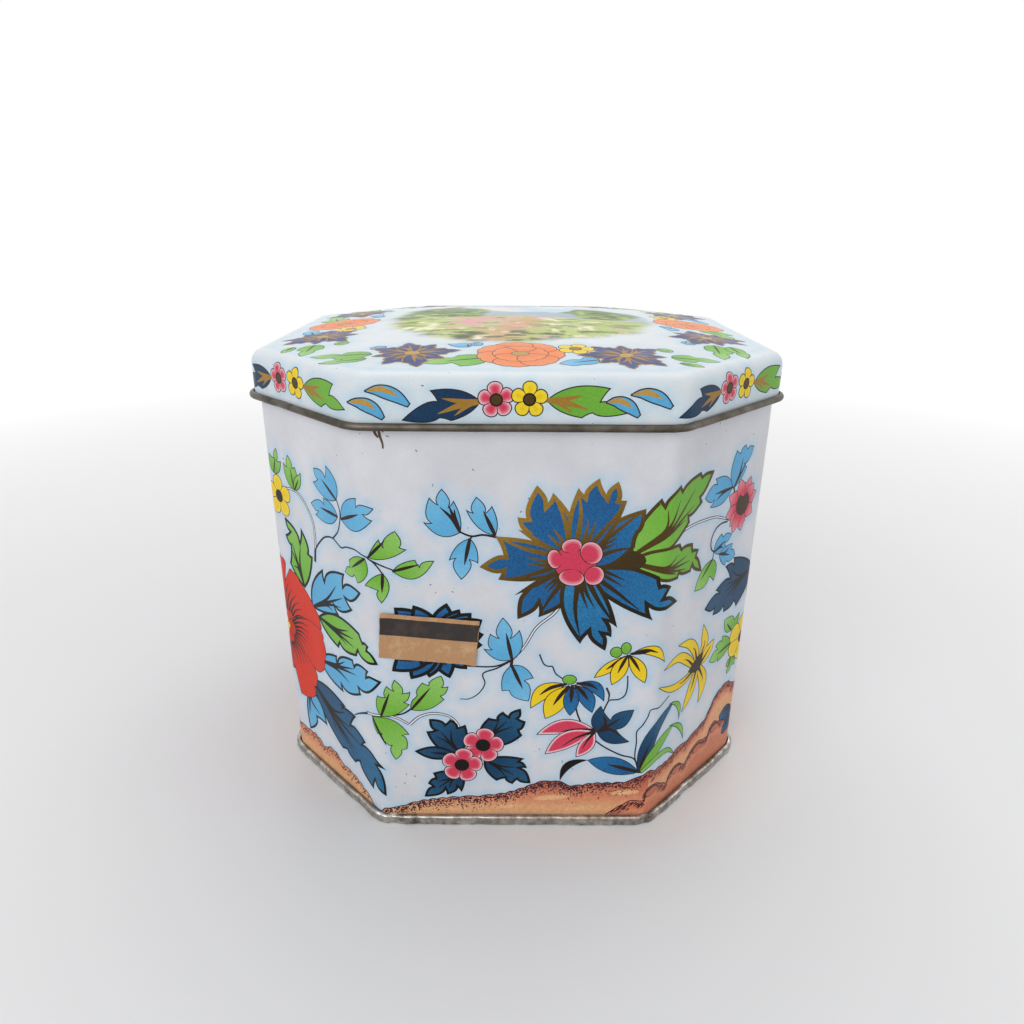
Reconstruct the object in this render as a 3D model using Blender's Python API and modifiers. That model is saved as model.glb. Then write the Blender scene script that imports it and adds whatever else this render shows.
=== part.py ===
"""Printed tinplate box with eight sides and a lid that lifts off.

Metres, +Z up. The origin is the middle of the foot, on the surface that the box stands on, and the front
is -Y. The plan is a square with its four corners cut off at 45 degrees, and every corner is bent to a
radius. Three pieces of sheet make the box: the wall, closed by a lock seam at the back, the base, hooked
round the foot of the wall in a double seam, and the lid, pressed in one with its skirt. Each is drawn as
the middle line of its sheet and then given the sheet's thickness. A paper price label is on the front.
"""
import math

import bmesh
import bpy
from mathutils import Vector

# Plan, measured on the outside of the wall
FACE_WIDTH = 0.065
CORNER_LEG = 0.028
CORNER_RADIUS = 0.005

# Sheet, and the play that each fold and each neighbour keeps
SHEET = 0.00025
FOLD_GAP = 0.00025
PIECE_GAP = 0.0003
FOLD_RADIUS = 0.0003

# Wall
WALL_HEIGHT = 0.111
RIM_RADIUS = 0.0008
RIM_SWEEP = math.radians(250)

# Base and its double seam
SEAM_HEIGHT = 0.0026
BASE_RECESS = 0.0029
BASE_STEP = 0.0007
BASE_STEP_OUTER_SHARE = 0.88
BASE_STEP_INNER_SHARE = 0.86

# Lock seam, a flat fold of three layers inside the back of the wall
LOCK_WIDTH = 0.0045
LOCK_GAP = 0.00012
LOCK_ACROSS = 0.018

# Lid
LID_DEPTH = 0.0111
LID_CLEARANCE = 0.001
SHOULDER_RADIUS = 0.003
CROWN_RISE = 0.0042
HEM_RADIUS = 0.0008
HEM_SWEEP = math.radians(285)
CROWN_RING_SHARES = (0.95, 0.88, 0.79, 0.68, 0.55, 0.4, 0.22)

# Price label
LABEL_WIDTH = 0.022
LABEL_HEIGHT = 0.011
LABEL_THICKNESS = 0.00012
LABEL_ACROSS = -0.0195
LABEL_UP = 0.0523
LABEL_TURN = math.radians(5.5)
LABEL_CORNER_RADIUS = 0.0004

# How finely the round stretches are drawn
CORNER_STEPS = 4
SIDE_STEPS = 4
FOLD_STEPS = 3
CURL_STEPS = 9
SHOULDER_STEPS = 5

# Places that follow from the sizes above
ACROSS_FLATS = FACE_WIDTH + 2 * CORNER_LEG
HALF_FLATS = ACROSS_FLATS / 2
WALL_LINE = -SHEET / 2
LAYER_PITCH = SHEET + FOLD_GAP
END_HOOK_LINE = WALL_LINE + LAYER_PITCH
BODY_HOOK_LINE = END_HOOK_LINE + LAYER_PITCH
SEAM_WALL_LINE = BODY_HOOK_LINE + LAYER_PITCH
CHUCK_LINE = WALL_LINE - LAYER_PITCH
FOOT_LINE_Z = SHEET / 2
FLANGE_Z = FOOT_LINE_Z + LAYER_PITCH
SEAM_TOP_Z = SEAM_HEIGHT - SHEET / 2
BASE_PANEL_Z = BASE_RECESS + SHEET / 2
SKIRT_LINE = LID_CLEARANCE + SHEET / 2
CROWN_SLOPE = math.atan(2 * CROWN_RISE / HALF_FLATS)


def seat_drop() -> float:
    """Height from the rim's top up to the crown edge of the lid, at which the shoulder rests on the rim."""
    shoulder_centre = SKIRT_LINE - SHOULDER_RADIUS
    inner_shoulder = SHOULDER_RADIUS - SHEET / 2
    across = shoulder_centre + RIM_RADIUS
    reach = inner_shoulder - RIM_RADIUS - PIECE_GAP
    up = math.sqrt(max(reach ** 2 - across ** 2, 0.0))
    return SHOULDER_RADIUS - RIM_RADIUS - up


CROWN_EDGE_Z = WALL_HEIGHT + seat_drop()
HEM_Z = CROWN_EDGE_Z - LID_DEPTH + HEM_RADIUS


def clear_scene() -> None:
    """Remove the objects that the scene starts with."""
    for item in list(bpy.data.objects):
        bpy.data.objects.remove(item, do_unlink=True)


def new_collection(name: str) -> bpy.types.Collection:
    """Add an empty collection to the scene."""
    group = bpy.data.collections.new(name)
    bpy.context.scene.collection.children.link(group)
    return group


def new_material(name: str, colour: tuple, roughness: float, metallic: float) -> bpy.types.Material:
    """Make a Principled material of one colour."""
    material = bpy.data.materials.new(name)
    material.use_nodes = True
    shader = material.node_tree.nodes["Principled BSDF"]
    shader.inputs["Base Color"].default_value = (*colour, 1.0)
    shader.inputs["Roughness"].default_value = roughness
    shader.inputs["Metallic"].default_value = metallic
    return material


def corner_centres() -> list:
    """Centres of the plan's corner bends, each with the angle at which its bend starts."""
    cut_reach = (FACE_WIDTH + CORNER_LEG) / math.sqrt(2)
    reaches = [HALF_FLATS, cut_reach] * 4
    centres = []
    for face in range(8):
        angle = math.radians(45 * face)
        after = math.radians(45 * (face + 1))
        near, far = reaches[face] - CORNER_RADIUS, reaches[(face + 1) % 8] - CORNER_RADIUS
        turn = math.sin(after - angle)
        x = (near * math.sin(after) - far * math.sin(angle)) / turn
        y = (far * math.cos(angle) - near * math.cos(after)) / turn
        centres.append((Vector((x, y)), angle))
    return centres


def plan_outline(side_steps: int) -> list:
    """Points of the wall's outside in plan, anticlockwise, with each flat side cut into side_steps."""
    points = []
    for centre, start in corner_centres():
        for step in range(CORNER_STEPS + 1):
            angle = start + math.radians(45) * step / CORNER_STEPS
            point = centre + CORNER_RADIUS * Vector((math.cos(angle), math.sin(angle)))
            if step == 0 and points:
                last = points[-1]
                points += [last.lerp(point, share / side_steps) for share in range(1, side_steps)]
            points.append(point)
    last, first = points[-1], points[0]
    points += [last.lerp(first, share / side_steps) for share in range(1, side_steps)]
    return points


def bent_line(corners: list, radius: float) -> list:
    """A line through the corners, in which each inner corner is a bend of the given radius."""
    line = [Vector(corners[0])]
    for before, here, after in zip(corners, corners[1:], corners[2:]):
        here = Vector(here)
        inward = (Vector(before) - here).normalized()
        outward = (Vector(after) - here).normalized()
        half = inward.angle(outward) / 2
        setback = radius / math.tan(half)
        centre = here + (inward + outward).normalized() * radius / math.sin(half)
        start = here + inward * setback - centre
        end = here + outward * setback - centre
        swing = start.angle_signed(end)
        for step in range(FOLD_STEPS + 1):
            angle = -swing * step / FOLD_STEPS
            turned = Vector((start.x * math.cos(angle) - start.y * math.sin(angle),
                             start.x * math.sin(angle) + start.y * math.cos(angle)))
            line.append(centre + turned)
    line.append(Vector(corners[-1]))
    return line


def arc_line(centre: Vector, radius: float, start: float, sweep: float, steps: int) -> list:
    """Points on an arc, from its start angle through its sweep."""
    angles = [start + sweep * step / steps for step in range(steps + 1)]
    return [centre + radius * Vector((math.cos(angle), math.sin(angle))) for angle in angles]


def new_curve(name: str, points: list, closed: bool) -> bpy.types.Object:
    """A flat curve of straight runs through the points."""
    data = bpy.data.curves.new(name, "CURVE")
    data.dimensions = "2D"
    data.fill_mode = "NONE"
    spline = data.splines.new("POLY")
    spline.points.add(len(points) - 1)
    for place, point in zip(spline.points, points):
        place.co = (point.x, point.y, 0.0, 1.0)
    spline.use_cyclic_u = closed
    item = bpy.data.objects.new(name, data)
    bpy.context.scene.collection.objects.link(item)
    return item


def swept_sheet(section: list, side_steps: int = 1) -> bmesh.types.BMesh:
    """Sweep a section round the plan.

    The section's first number is its distance outside the wall and its second is its height. A closed flat
    curve takes its bevel profile with +X towards its middle, so the section goes in mirrored.
    """
    path = new_curve("plan_path", plan_outline(side_steps), True)
    profile = new_curve("sheet_section", [Vector((-point.x, point.y)) for point in section], False)
    path.data.bevel_mode = "OBJECT"
    path.data.bevel_object = profile
    evaluated = path.evaluated_get(bpy.context.evaluated_depsgraph_get())
    mesh = bpy.data.meshes.new_from_object(evaluated)
    sheet = bmesh.new()
    sheet.from_mesh(mesh)
    bpy.data.meshes.remove(mesh)
    bpy.data.objects.remove(path)
    bpy.data.objects.remove(profile)
    return sheet


def inner_edge(sheet: bmesh.types.BMesh) -> list:
    """The open edge of the sheet that lies nearest to the middle of the plan."""
    rims = [edge for edge in sheet.edges if edge.is_boundary]
    inmost = min(rims, key=lambda edge: edge.verts[0].co.xy.length)
    level = inmost.verts[0].co.z
    return [edge for edge in rims if all(math.isclose(v.co.z, level, abs_tol=SHEET) for v in edge.verts)]


def grow_inward(sheet: bmesh.types.BMesh, rim: list, place) -> list:
    """Extrude an open edge, move each new vertex to where place puts it, and return the new open edge."""
    made = bmesh.ops.extrude_edge_only(sheet, edges=rim)["geom"]
    for vert in (item for item in made if isinstance(item, bmesh.types.BMVert)):
        vert.co = place(vert)
    return [item for item in made if isinstance(item, bmesh.types.BMEdge) and item.is_boundary]


def finish_piece(name: str, sheet: bmesh.types.BMesh, material: bpy.types.Material,
                 group: bpy.types.Collection, thickness: float = SHEET) -> bpy.types.Object:
    """Turn a middle surface into an object whose Solidify modifier gives it its thickness."""
    bmesh.ops.recalc_face_normals(sheet, faces=sheet.faces)
    mesh = bpy.data.meshes.new(name)
    sheet.to_mesh(mesh)
    sheet.free()
    mesh.materials.append(material)
    mesh.shade_smooth()
    mesh.set_sharp_from_angle(angle=math.radians(35))
    piece = bpy.data.objects.new(name, mesh)
    group.objects.link(piece)
    solid = piece.modifiers.new("sheet", "SOLIDIFY")
    solid.thickness = thickness
    solid.offset = 0.0
    solid.use_even_offset = True
    return piece


def make_wall(material: bpy.types.Material, group: bpy.types.Collection) -> bpy.types.Object:
    """The printed wall, with the hook at its foot that the base is seamed to."""
    top = WALL_HEIGHT - RIM_RADIUS
    hook_end = SEAM_TOP_Z - SHEET / 2 - FOLD_GAP
    corners = [(WALL_LINE, top), (WALL_LINE, FLANGE_Z), (BODY_HOOK_LINE, FLANGE_Z), (BODY_HOOK_LINE, hook_end)]
    return finish_piece("body_wall", swept_sheet(bent_line(corners, FOLD_RADIUS)), material, group)


def make_rim(material: bpy.types.Material, group: bpy.types.Collection) -> bpy.types.Object:
    """The top edge of the wall, rolled inwards so that it doesn't cut."""
    radius = RIM_RADIUS - SHEET / 2
    centre = Vector((-RIM_RADIUS, WALL_HEIGHT - RIM_RADIUS))
    section = arc_line(centre, radius, math.asin(PIECE_GAP / radius), RIM_SWEEP, CURL_STEPS)
    return finish_piece("body_rim_curl", swept_sheet(section), material, group)


def make_lock_seam(material: bpy.types.Material, group: bpy.types.Collection) -> bpy.types.Object:
    """The lock seam that closes the wall: its edges folded flat on each other, inside the back."""
    half = LOCK_WIDTH / 2
    pitch = SHEET + LOCK_GAP
    outer = HALF_FLATS - SHEET - PIECE_GAP - SHEET / 2
    corners = [(half, outer), (-half, outer), (-half, outer - pitch), (half, outer - pitch),
               (half, outer - 2 * pitch), (-half, outer - 2 * pitch)]
    section = [point + Vector((LOCK_ACROSS, 0.0)) for point in bent_line(corners, pitch / 2)]
    strip = new_curve("lock_section", section, False)
    low = BASE_PANEL_Z + SHEET / 2 + PIECE_GAP
    high = WALL_HEIGHT - 2 * RIM_RADIUS - PIECE_GAP
    strip.data.extrude = (high - low) / 2
    evaluated = strip.evaluated_get(bpy.context.evaluated_depsgraph_get())
    mesh = bpy.data.meshes.new_from_object(evaluated)
    sheet = bmesh.new()
    sheet.from_mesh(mesh)
    bmesh.ops.translate(sheet, verts=sheet.verts, vec=(0.0, 0.0, (high + low) / 2))
    bpy.data.meshes.remove(mesh)
    bpy.data.objects.remove(strip)
    return finish_piece("side_lock_seam", sheet, material, group)


def make_base(material: bpy.types.Material, group: bpy.types.Collection) -> bpy.types.Object:
    """The base: a sunk panel whose edge goes under the wall's foot and hooks over it from outside."""
    start = CHUCK_LINE - CORNER_RADIUS / 2
    hook_end = FLANGE_Z + SHEET / 2 + FOLD_GAP
    corners = [(start, BASE_PANEL_Z), (CHUCK_LINE, BASE_PANEL_Z), (CHUCK_LINE, FOOT_LINE_Z),
               (SEAM_WALL_LINE, FOOT_LINE_Z), (SEAM_WALL_LINE, SEAM_TOP_Z),
               (END_HOOK_LINE, SEAM_TOP_Z), (END_HOOK_LINE, hook_end)]
    sheet = swept_sheet(bent_line(corners, FOLD_RADIUS))
    step_share = BASE_STEP_INNER_SHARE / BASE_STEP_OUTER_SHARE
    rim = inner_edge(sheet)
    for share, rise in ((BASE_STEP_OUTER_SHARE, 0.0), (step_share, BASE_STEP)):
        rim = grow_inward(sheet, rim, lambda vert: Vector((*vert.co.xy * share, vert.co.z + rise)))
    bmesh.ops.contextual_create(sheet, geom=rim)
    return finish_piece("base_end", sheet, material, group)


def crown_point(edge: Vector, share: float) -> Vector:
    """A point of the crowned top, at a share of the way from the middle to a point on its edge.

    The level lines of the crown follow the eight sides near the edge and grow round towards the middle.
    """
    across = edge.xy.length
    round_off = share + (1.0 - share) * HALF_FLATS / across
    height = edge.z + CROWN_RISE * (1.0 - share ** 2)
    return Vector((edge.x * share * round_off, edge.y * share * round_off, height))


def make_lid(material: bpy.types.Material, group: bpy.types.Collection) -> bpy.types.Object:
    """The lid, pressed in one: a skirt, a rounded shoulder and a low crown."""
    foot = HEM_Z + PIECE_GAP
    shoulder_centre = Vector((SKIRT_LINE - SHOULDER_RADIUS, CROWN_EDGE_Z - SHOULDER_RADIUS))
    sweep = math.pi / 2 - CROWN_SLOPE
    section = [Vector((SKIRT_LINE, foot))]
    section += arc_line(shoulder_centre, SHOULDER_RADIUS, 0.0, sweep, SHOULDER_STEPS)
    sheet = swept_sheet(section, SIDE_STEPS)
    crown_edge = sheet.verts.layers.float_vector.new("crown_edge")
    rim = inner_edge(sheet)
    for vert in {vert for edge in rim for vert in edge.verts}:
        vert[crown_edge] = vert.co
    for share in CROWN_RING_SHARES:
        rim = grow_inward(sheet, rim, lambda vert: crown_point(vert[crown_edge], share))
    bmesh.ops.contextual_create(sheet, geom=rim)
    return finish_piece("lid_panel", sheet, material, group)


def make_hem(material: bpy.types.Material, group: bpy.types.Collection) -> bpy.types.Object:
    """The foot of the skirt, rolled outwards into a bead of bare tin."""
    radius = HEM_RADIUS - SHEET / 2
    centre = Vector((SKIRT_LINE + radius, HEM_Z))
    section = arc_line(centre, radius, math.pi, HEM_SWEEP, CURL_STEPS)
    return finish_piece("lid_hem_curl", swept_sheet(section), material, group)


def make_label(material: bpy.types.Material, group: bpy.types.Collection) -> bpy.types.Object:
    """The paper price label on the front, a flat outline with rounded corners."""
    half_x = LABEL_WIDTH / 2 - LABEL_CORNER_RADIUS
    half_z = LABEL_HEIGHT / 2 - LABEL_CORNER_RADIUS
    points = []
    for quarter, (side, level) in enumerate(((1, 1), (-1, 1), (-1, -1), (1, -1))):
        centre = Vector((side * half_x, level * half_z))
        points += arc_line(centre, LABEL_CORNER_RADIUS, quarter * math.pi / 2, math.pi / 2, FOLD_STEPS)
    outline = new_curve("price_label", points, True)
    outline.data.fill_mode = "BOTH"
    outline.data.extrude = LABEL_THICKNESS / 2
    outline.data.materials.append(material)
    outline.rotation_euler = (math.pi / 2, LABEL_TURN, 0.0)
    outline.location = (LABEL_ACROSS, -HALF_FLATS - PIECE_GAP - LABEL_THICKNESS / 2, LABEL_UP)
    bpy.context.scene.collection.objects.unlink(outline)
    group.objects.link(outline)
    return outline


def main() -> None:
    """Build the box, with the lid's pieces under an empty on the line along which the lid lifts."""
    clear_scene()
    box = new_collection("tin_box")
    print_white = new_material("printed_tinplate", (0.78, 0.79, 0.82), 0.3, 0.0)
    bare_tin = new_material("bare_tinplate", (0.52, 0.5, 0.47), 0.35, 1.0)
    dull_tin = new_material("tarnished_tinplate", (0.26, 0.23, 0.19), 0.4, 1.0)
    paper = new_material("kraft_paper", (0.42, 0.26, 0.14), 0.8, 0.0)
    make_wall(print_white, box)
    make_rim(bare_tin, box)
    make_lock_seam(bare_tin, box)
    make_base(bare_tin, box)
    make_label(paper, box)
    lift_line = bpy.data.objects.new("lid_lift_line", None)
    lift_line.location = (0.0, 0.0, HEM_Z)
    box.objects.link(lift_line)
    for piece in (make_lid(print_white, box), make_hem(dull_tin, box)):
        piece.parent = lift_line
        piece.matrix_parent_inverse.identity()
        piece.location = (0.0, 0.0, -HEM_Z)


main()
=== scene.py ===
"""Looks of an eight-sided printed tin with a lift-off lid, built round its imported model.

The tin is drawn in millimetres, in the model's own frame: +Z up, the front is -Y, and the origin is the
middle of the foot. A place on the wall or the skirt is given as a distance along the tin, measured round
its sharp-cornered plan from the middle of the front towards +X, and a height.
"""
import logging
import math
from dataclasses import dataclass, field
from enum import Enum
from typing import Callable, Optional, Protocol, Sequence

import bpy
import numpy as np
from mathutils import Matrix, Vector
from mathutils.geometry import delaunay_2d_cdt
from mathutils.kdtree import KDTree


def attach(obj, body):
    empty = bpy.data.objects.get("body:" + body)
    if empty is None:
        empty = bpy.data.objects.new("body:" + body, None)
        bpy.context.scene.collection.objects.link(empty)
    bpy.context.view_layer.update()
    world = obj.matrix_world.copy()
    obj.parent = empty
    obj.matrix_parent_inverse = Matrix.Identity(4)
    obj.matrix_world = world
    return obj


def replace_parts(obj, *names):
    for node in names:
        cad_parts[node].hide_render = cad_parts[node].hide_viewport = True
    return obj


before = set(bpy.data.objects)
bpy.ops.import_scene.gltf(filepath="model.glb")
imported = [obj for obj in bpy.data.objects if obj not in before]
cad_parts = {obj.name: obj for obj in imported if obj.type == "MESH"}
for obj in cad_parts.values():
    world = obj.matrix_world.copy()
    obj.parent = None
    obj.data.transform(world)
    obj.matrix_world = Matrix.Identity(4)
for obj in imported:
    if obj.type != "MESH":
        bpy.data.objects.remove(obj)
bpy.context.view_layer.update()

LOG = logging.getLogger("tin_scene")
Points = np.ndarray
MM = 0.001
SHARP_DEGREES = 40.0
SMALL = 1e-9
# Ink films: how far they stand off the sheet and lie in it, and the limits of their cutting
FILM_LIFT = 0.03
FILM_DEPTH = 0.05
CUT_GAP = 1e-5
BATCH_TESTS = 4_000_000
HALO_MARGIN = 9.0
# Widths of the pen: of a thin outline, and of a stroke where it runs out
THIN = 0.2
FINE = 0.12


class Ink(Enum):
    """The inks of the print, by what each one colours."""
    KEYLINE = "keyline_brown"
    BORDER = "border_black"
    BRONZE = "bronze_gold"
    OLIVE = "olive_bronze"
    BLUE = "petal_blue"
    NAVY = "leaf_navy"
    SKY = "sprig_sky_blue"
    GREEN = "leaf_green"
    PINK = "blossom_pink"
    WHITE = "highlight_white"
    RED = "peony_red"
    YELLOW = "blossom_yellow"
    ROCK = "rock_salmon"
    PLUM = "stipple_plum"
    HATCH = "hatching_brown"
    ORANGE = "lid_orange"
    SLATE = "lid_slate_blue"
    LID_GOLD = "lid_gold"
    STAIN = "rust_stain"


class Side(Enum):
    """Which face of the sheet a material covers."""
    PRINTED = 0
    BARE = 1


# Sizes and the plan


@dataclass(frozen=True)
class TinPlan:
    """The plan of the tin: a square with its corners cut off and every corner bent. Millimetres."""
    face: float = 65.0
    leg: float = 28.0
    bend: float = 5.0
    sheet: float = 0.25
    wall_top: float = 110.2
    rim_radius: float = 0.8
    crown_edge: float = 111.788
    shoulder: float = 3.0
    crown_rise: float = 3.9
    hem_height: float = 101.488
    hem_radius: float = 0.8
    lid_gap: float = 1.0
    corner_steps: int = 13
    flat_step: float = 1.0

    @property
    def cut(self) -> float:
        """Sharp-cornered width of a cut-off face."""
        return self.leg * math.sqrt(2)

    @property
    def half_flats(self) -> float:
        """Half the distance across the long faces."""
        return self.face / 2 + self.leg

    @property
    def half_turn(self) -> float:
        """Distance along the tin after which the print repeats, half way round."""
        return 2 * (self.face + self.cut)

    @property
    def setback(self) -> float:
        """How far a corner's bend reaches along the face on each side of it."""
        return self.bend * math.tan(math.radians(22.5))

    @property
    def crown_slope(self) -> float:
        """Slope of the crown where it meets the shoulder."""
        return math.atan(2 * 4.2 / self.half_flats)

    def lengths(self) -> Points:
        """Sharp-cornered lengths of the eight faces, from the front on."""
        return np.array([self.face, self.cut] * 4)

    def corners(self) -> Points:
        """Distances along the tin of the eight corners, from the front's right corner on."""
        return np.cumsum(self.lengths()) - self.face / 2

    def columns(self) -> Points:
        """Distances along the tin at which a swept shell has its columns.

        Returns:
            The distances, in order.
        """
        found = []
        start = -self.face / 2
        for length in self.lengths():
            low, high = start + self.setback, start + length - self.setback
            found.append(np.linspace(low, high, math.ceil((high - low) / self.flat_step) + 1))
            bend = np.linspace(high, high + 2 * self.setback, self.corner_steps + 1)
            found.append(bend[1:-1])
            start += length
        return np.concatenate(found)

    def bend_lines(self) -> tuple[float, ...]:
        """Distances, within half a turn, at which the sheet's bends have their columns.

        Returns:
            The distances.
        """
        near = self.corners()[:2]
        return tuple(corner + share * self.setback for corner in (*-near, *near)
                     for share in np.linspace(-1, 1, self.corner_steps + 1))

    def at(self, along: Points, out: Points) -> tuple[Points, Points]:
        """Place points on the plan.

        Args:
            along: Distances along the tin.
            out: Distances outside the wall's outer face.

        Returns:
            The points' x and y, and the directions that point straight out of the tin there.
        """
        around = 2 * self.half_turn
        local = (np.asarray(along, float) + self.face / 2) % around
        ends = np.cumsum(self.lengths())
        face = np.minimum(np.searchsorted(ends, local, side="right"), 7)
        length = self.lengths()[face]
        middle = local - (ends[face] - length / 2)
        straight = length / 2 - self.setback
        flat = np.clip(middle, -straight, straight)
        swing = (middle - flat) / (2 * self.setback) * math.radians(45)
        reach = np.where(face % 2 == 0, self.half_flats, (self.face + self.leg) / math.sqrt(2))
        facing = np.radians(45.0 * face - 90.0)
        normal = np.stack([np.cos(facing), np.sin(facing)], -1)
        tangent = np.stack([-normal[..., 1], normal[..., 0]], -1)
        turned = facing + swing
        outward = np.stack([np.cos(turned), np.sin(turned)], -1)
        centre = normal * (reach - self.bend)[..., None] + tangent * flat[..., None]
        return centre + outward * (self.bend + np.asarray(out, float))[..., None], outward


PLAN = TinPlan()


def level_line(along: Points, height: float) -> Points:
    """Flat points at one height."""
    return np.column_stack([along, np.full(len(along), height)])


class Surface(Protocol):
    """A face of the tin that is drawn on flat."""

    def place(self, flat: Points, lift: float) -> Points:
        """Take flat points to the tin, standing off its face by lift."""


def smoothstep(value: Points, low: float, high: float) -> Points:
    """A smooth rise from 0 at low to 1 at high."""
    share = np.clip((np.asarray(value, float) - low) / (high - low), 0.0, 1.0)
    return share * share * (3.0 - 2.0 * share)


@dataclass(frozen=True)
class WallFace:
    """The outside of the wall. Thin sheet is never quite flat, so it sways by a tenth of a millimetre."""
    sway: float = 0.07

    def give(self, along: Points, height: Points) -> Points:
        """How far the sheet sways out of true.

        Args:
            along: Distances along the tin.
            height: Heights.

        Returns:
            Distances out of true, in millimetres.
        """
        turn = 2 * math.pi * np.asarray(along) / (2 * PLAN.half_turn)
        up = np.asarray(height) / 100.0
        waves = (np.sin(5 * turn + 2.1 * up + 0.4) + 0.8 * np.sin(9 * turn - 3.7 * up + 1.9)
                 + 0.55 * np.sin(17 * turn + 5.3 * up + 0.7) + 0.5 * np.sin(3 * turn - 9.1 * up))
        held = smoothstep(height, 3.0, 16.0) * (1.0 - smoothstep(height, 94.0, 108.0))
        return self.sway * waves * held

    def place(self, flat: Points, lift: float) -> Points:
        """Take flat points to the wall, standing off its face by lift."""
        spot, _ = PLAN.at(flat[:, 0], self.give(flat[:, 0], flat[:, 1]) + lift)
        return np.column_stack([spot, flat[:, 1]])


@dataclass(frozen=True)
class SkirtFace:
    """The outside of the lid's skirt, and the shoulder above it. Heights are measured along the sheet."""
    foot: float = PLAN.hem_height + 0.3

    @property
    def straight(self) -> float:
        """Height of the skirt below the shoulder's bend."""
        return PLAN.crown_edge - PLAN.shoulder - self.foot

    def place(self, flat: Points, lift: float) -> Points:
        """Take flat points to the skirt, standing off its face by lift.

        Args:
            flat: Distances along the tin, and heights along the sheet.
            lift: How far to stand off.

        Returns:
            The points.
        """
        radius = PLAN.shoulder + PLAN.sheet / 2
        over = np.clip(flat[:, 1] - self.straight, 0.0, None) / radius
        out = PLAN.lid_gap + PLAN.sheet - radius + (radius + lift) * np.cos(over)
        height = self.foot + np.minimum(flat[:, 1], self.straight) + (radius + lift) * np.sin(over)
        spot, _ = PLAN.at(flat[:, 0], out)
        return np.column_stack([spot, height])


@dataclass(frozen=True)
class CrownFace:
    """The top of the lid, drawn on in plan."""
    edge_out: float = (PLAN.lid_gap + PLAN.sheet / 2 - PLAN.shoulder
                       + PLAN.shoulder * math.sin(PLAN.crown_slope))
    edge_height: float = PLAN.crown_edge - PLAN.shoulder * (1 - math.cos(PLAN.crown_slope))

    def edge_reach(self, direction: Points) -> Points:
        """Distance from the middle to the crown's edge in each direction, given as an angle.

        Args:
            direction: The directions, in radians from +X.

        Returns:
            The distances.
        """
        along = PLAN.columns()
        spot, _ = PLAN.at(along, np.full(len(along), self.edge_out))
        angle = np.arctan2(spot[:, 1], spot[:, 0])
        order = np.argsort(angle)
        return np.interp(direction, angle[order], np.hypot(*spot[order].T), period=2 * math.pi)

    def height(self, spots: Points) -> Points:
        """Height of the crown's outer face over points of the plan.

        Args:
            spots: Points of the plan.

        Returns:
            Their heights.
        """
        reach = self.edge_reach(np.arctan2(spots[:, 1], spots[:, 0]))
        away = np.hypot(spots[:, 0], spots[:, 1])
        half = PLAN.half_flats
        bent = reach - half
        bent = np.where(np.abs(bent) < 1e-6, 1e-6, bent)
        share = (-half + np.sqrt(np.maximum(half * half + 4 * bent * away, 0.0))) / (2 * bent)
        return self.edge_height + PLAN.crown_rise * (1 - share ** 2) + PLAN.sheet / 2

    def place(self, flat: Points, lift: float) -> Points:
        """Take points of the plan to the crown, standing off its face by lift."""
        return np.column_stack([flat, self.height(flat) + lift])


# Meshes


def add_object(name: str, data: bpy.types.ID) -> bpy.types.Object:
    """Put a new object into the scene.

    Args:
        name: Its name.
        data: Its mesh, light or camera.

    Returns:
        The object.
    """
    made = bpy.data.objects.new(name, data)
    bpy.context.scene.collection.objects.link(made)
    return made


def new_piece(name: str, verts: Points, faces: Sequence, body: str,
              materials: Sequence[bpy.types.Material]) -> bpy.types.Object:
    """Make a piece from millimetres, and let it ride on a body.

    Args:
        name: Name of the piece.
        verts: Points in millimetres.
        faces: Corners of each face.
        body: CAD body that the piece moves with.
        materials: The piece's materials.

    Returns:
        The new object.
    """
    mesh = bpy.data.meshes.new(name)
    mesh.from_pydata((np.asarray(verts, float) * MM).tolist(), [], faces)
    mesh.update()
    for material in materials:
        mesh.materials.append(material)
    mesh.shade_smooth()
    mesh.set_sharp_from_angle(angle=math.radians(SHARP_DEGREES))
    piece = add_object(name, mesh)
    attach(piece, body)
    LOG.info("%s: %d faces on %s", name, len(mesh.polygons), body)
    return piece


def strip(first: int, second: int, count: int) -> list:
    """Quads between two rings of vertices, each count long, that start at first and second.

    Args:
        first: Number of the first ring's first vertex.
        second: Number of the second ring's first vertex.
        count: Vertices of a ring.

    Returns:
        The faces.
    """
    here = np.arange(count)
    after = (here + 1) % count
    return np.column_stack([first + here, first + after, second + after, second + here]).tolist()


def fan(ring: int, pole: int, count: int, closing: bool) -> list:
    """Triangles between a ring and a pole, which ends the shell if closing and else starts it.

    Args:
        ring: Number of the ring's first vertex.
        pole: Number of the pole's vertex.
        count: Vertices of the ring.
        closing: Whether the pole ends the shell.

    Returns:
        The faces.
    """
    here = np.arange(count)
    after = (here + 1) % count
    peak = np.full(count, pole)
    order = [ring + here, ring + after, peak] if closing else [peak, ring + after, ring + here]
    return np.column_stack(order).tolist()


@dataclass
class Shell:
    """A closed shell round the tin, from rings that lie one after the other round its section."""
    rings: list[Points]
    sides: list[Side]
    pole_after: Optional[int] = None

    def build(self) -> tuple[Points, list, list]:
        """Join the rings.

        Returns:
            The vertices, the faces and each face's side. With pole_after, a pole ends the rings up to that
            one, and another pole starts the rest.
        """
        count = len(self.rings[0])
        verts = np.concatenate(self.rings)
        faces, sides = [], []
        total = len(self.rings)
        for ring in range(total):
            if ring == self.pole_after:
                poles = [self.rings[ring + step].mean(0) for step in (0, 1)]
                verts = np.concatenate([verts, np.array(poles)])
                base = total * count
                faces += fan(ring * count, base, count, True)
                faces += fan((ring + 1) * count, base + 1, count, False)
                sides += [self.sides[ring].value] * count + [Side.BARE.value] * count
                continue
            faces += strip(ring * count, (ring + 1) % total * count, count)
            sides += [self.sides[ring].value] * count
        return verts, faces, sides


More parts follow.
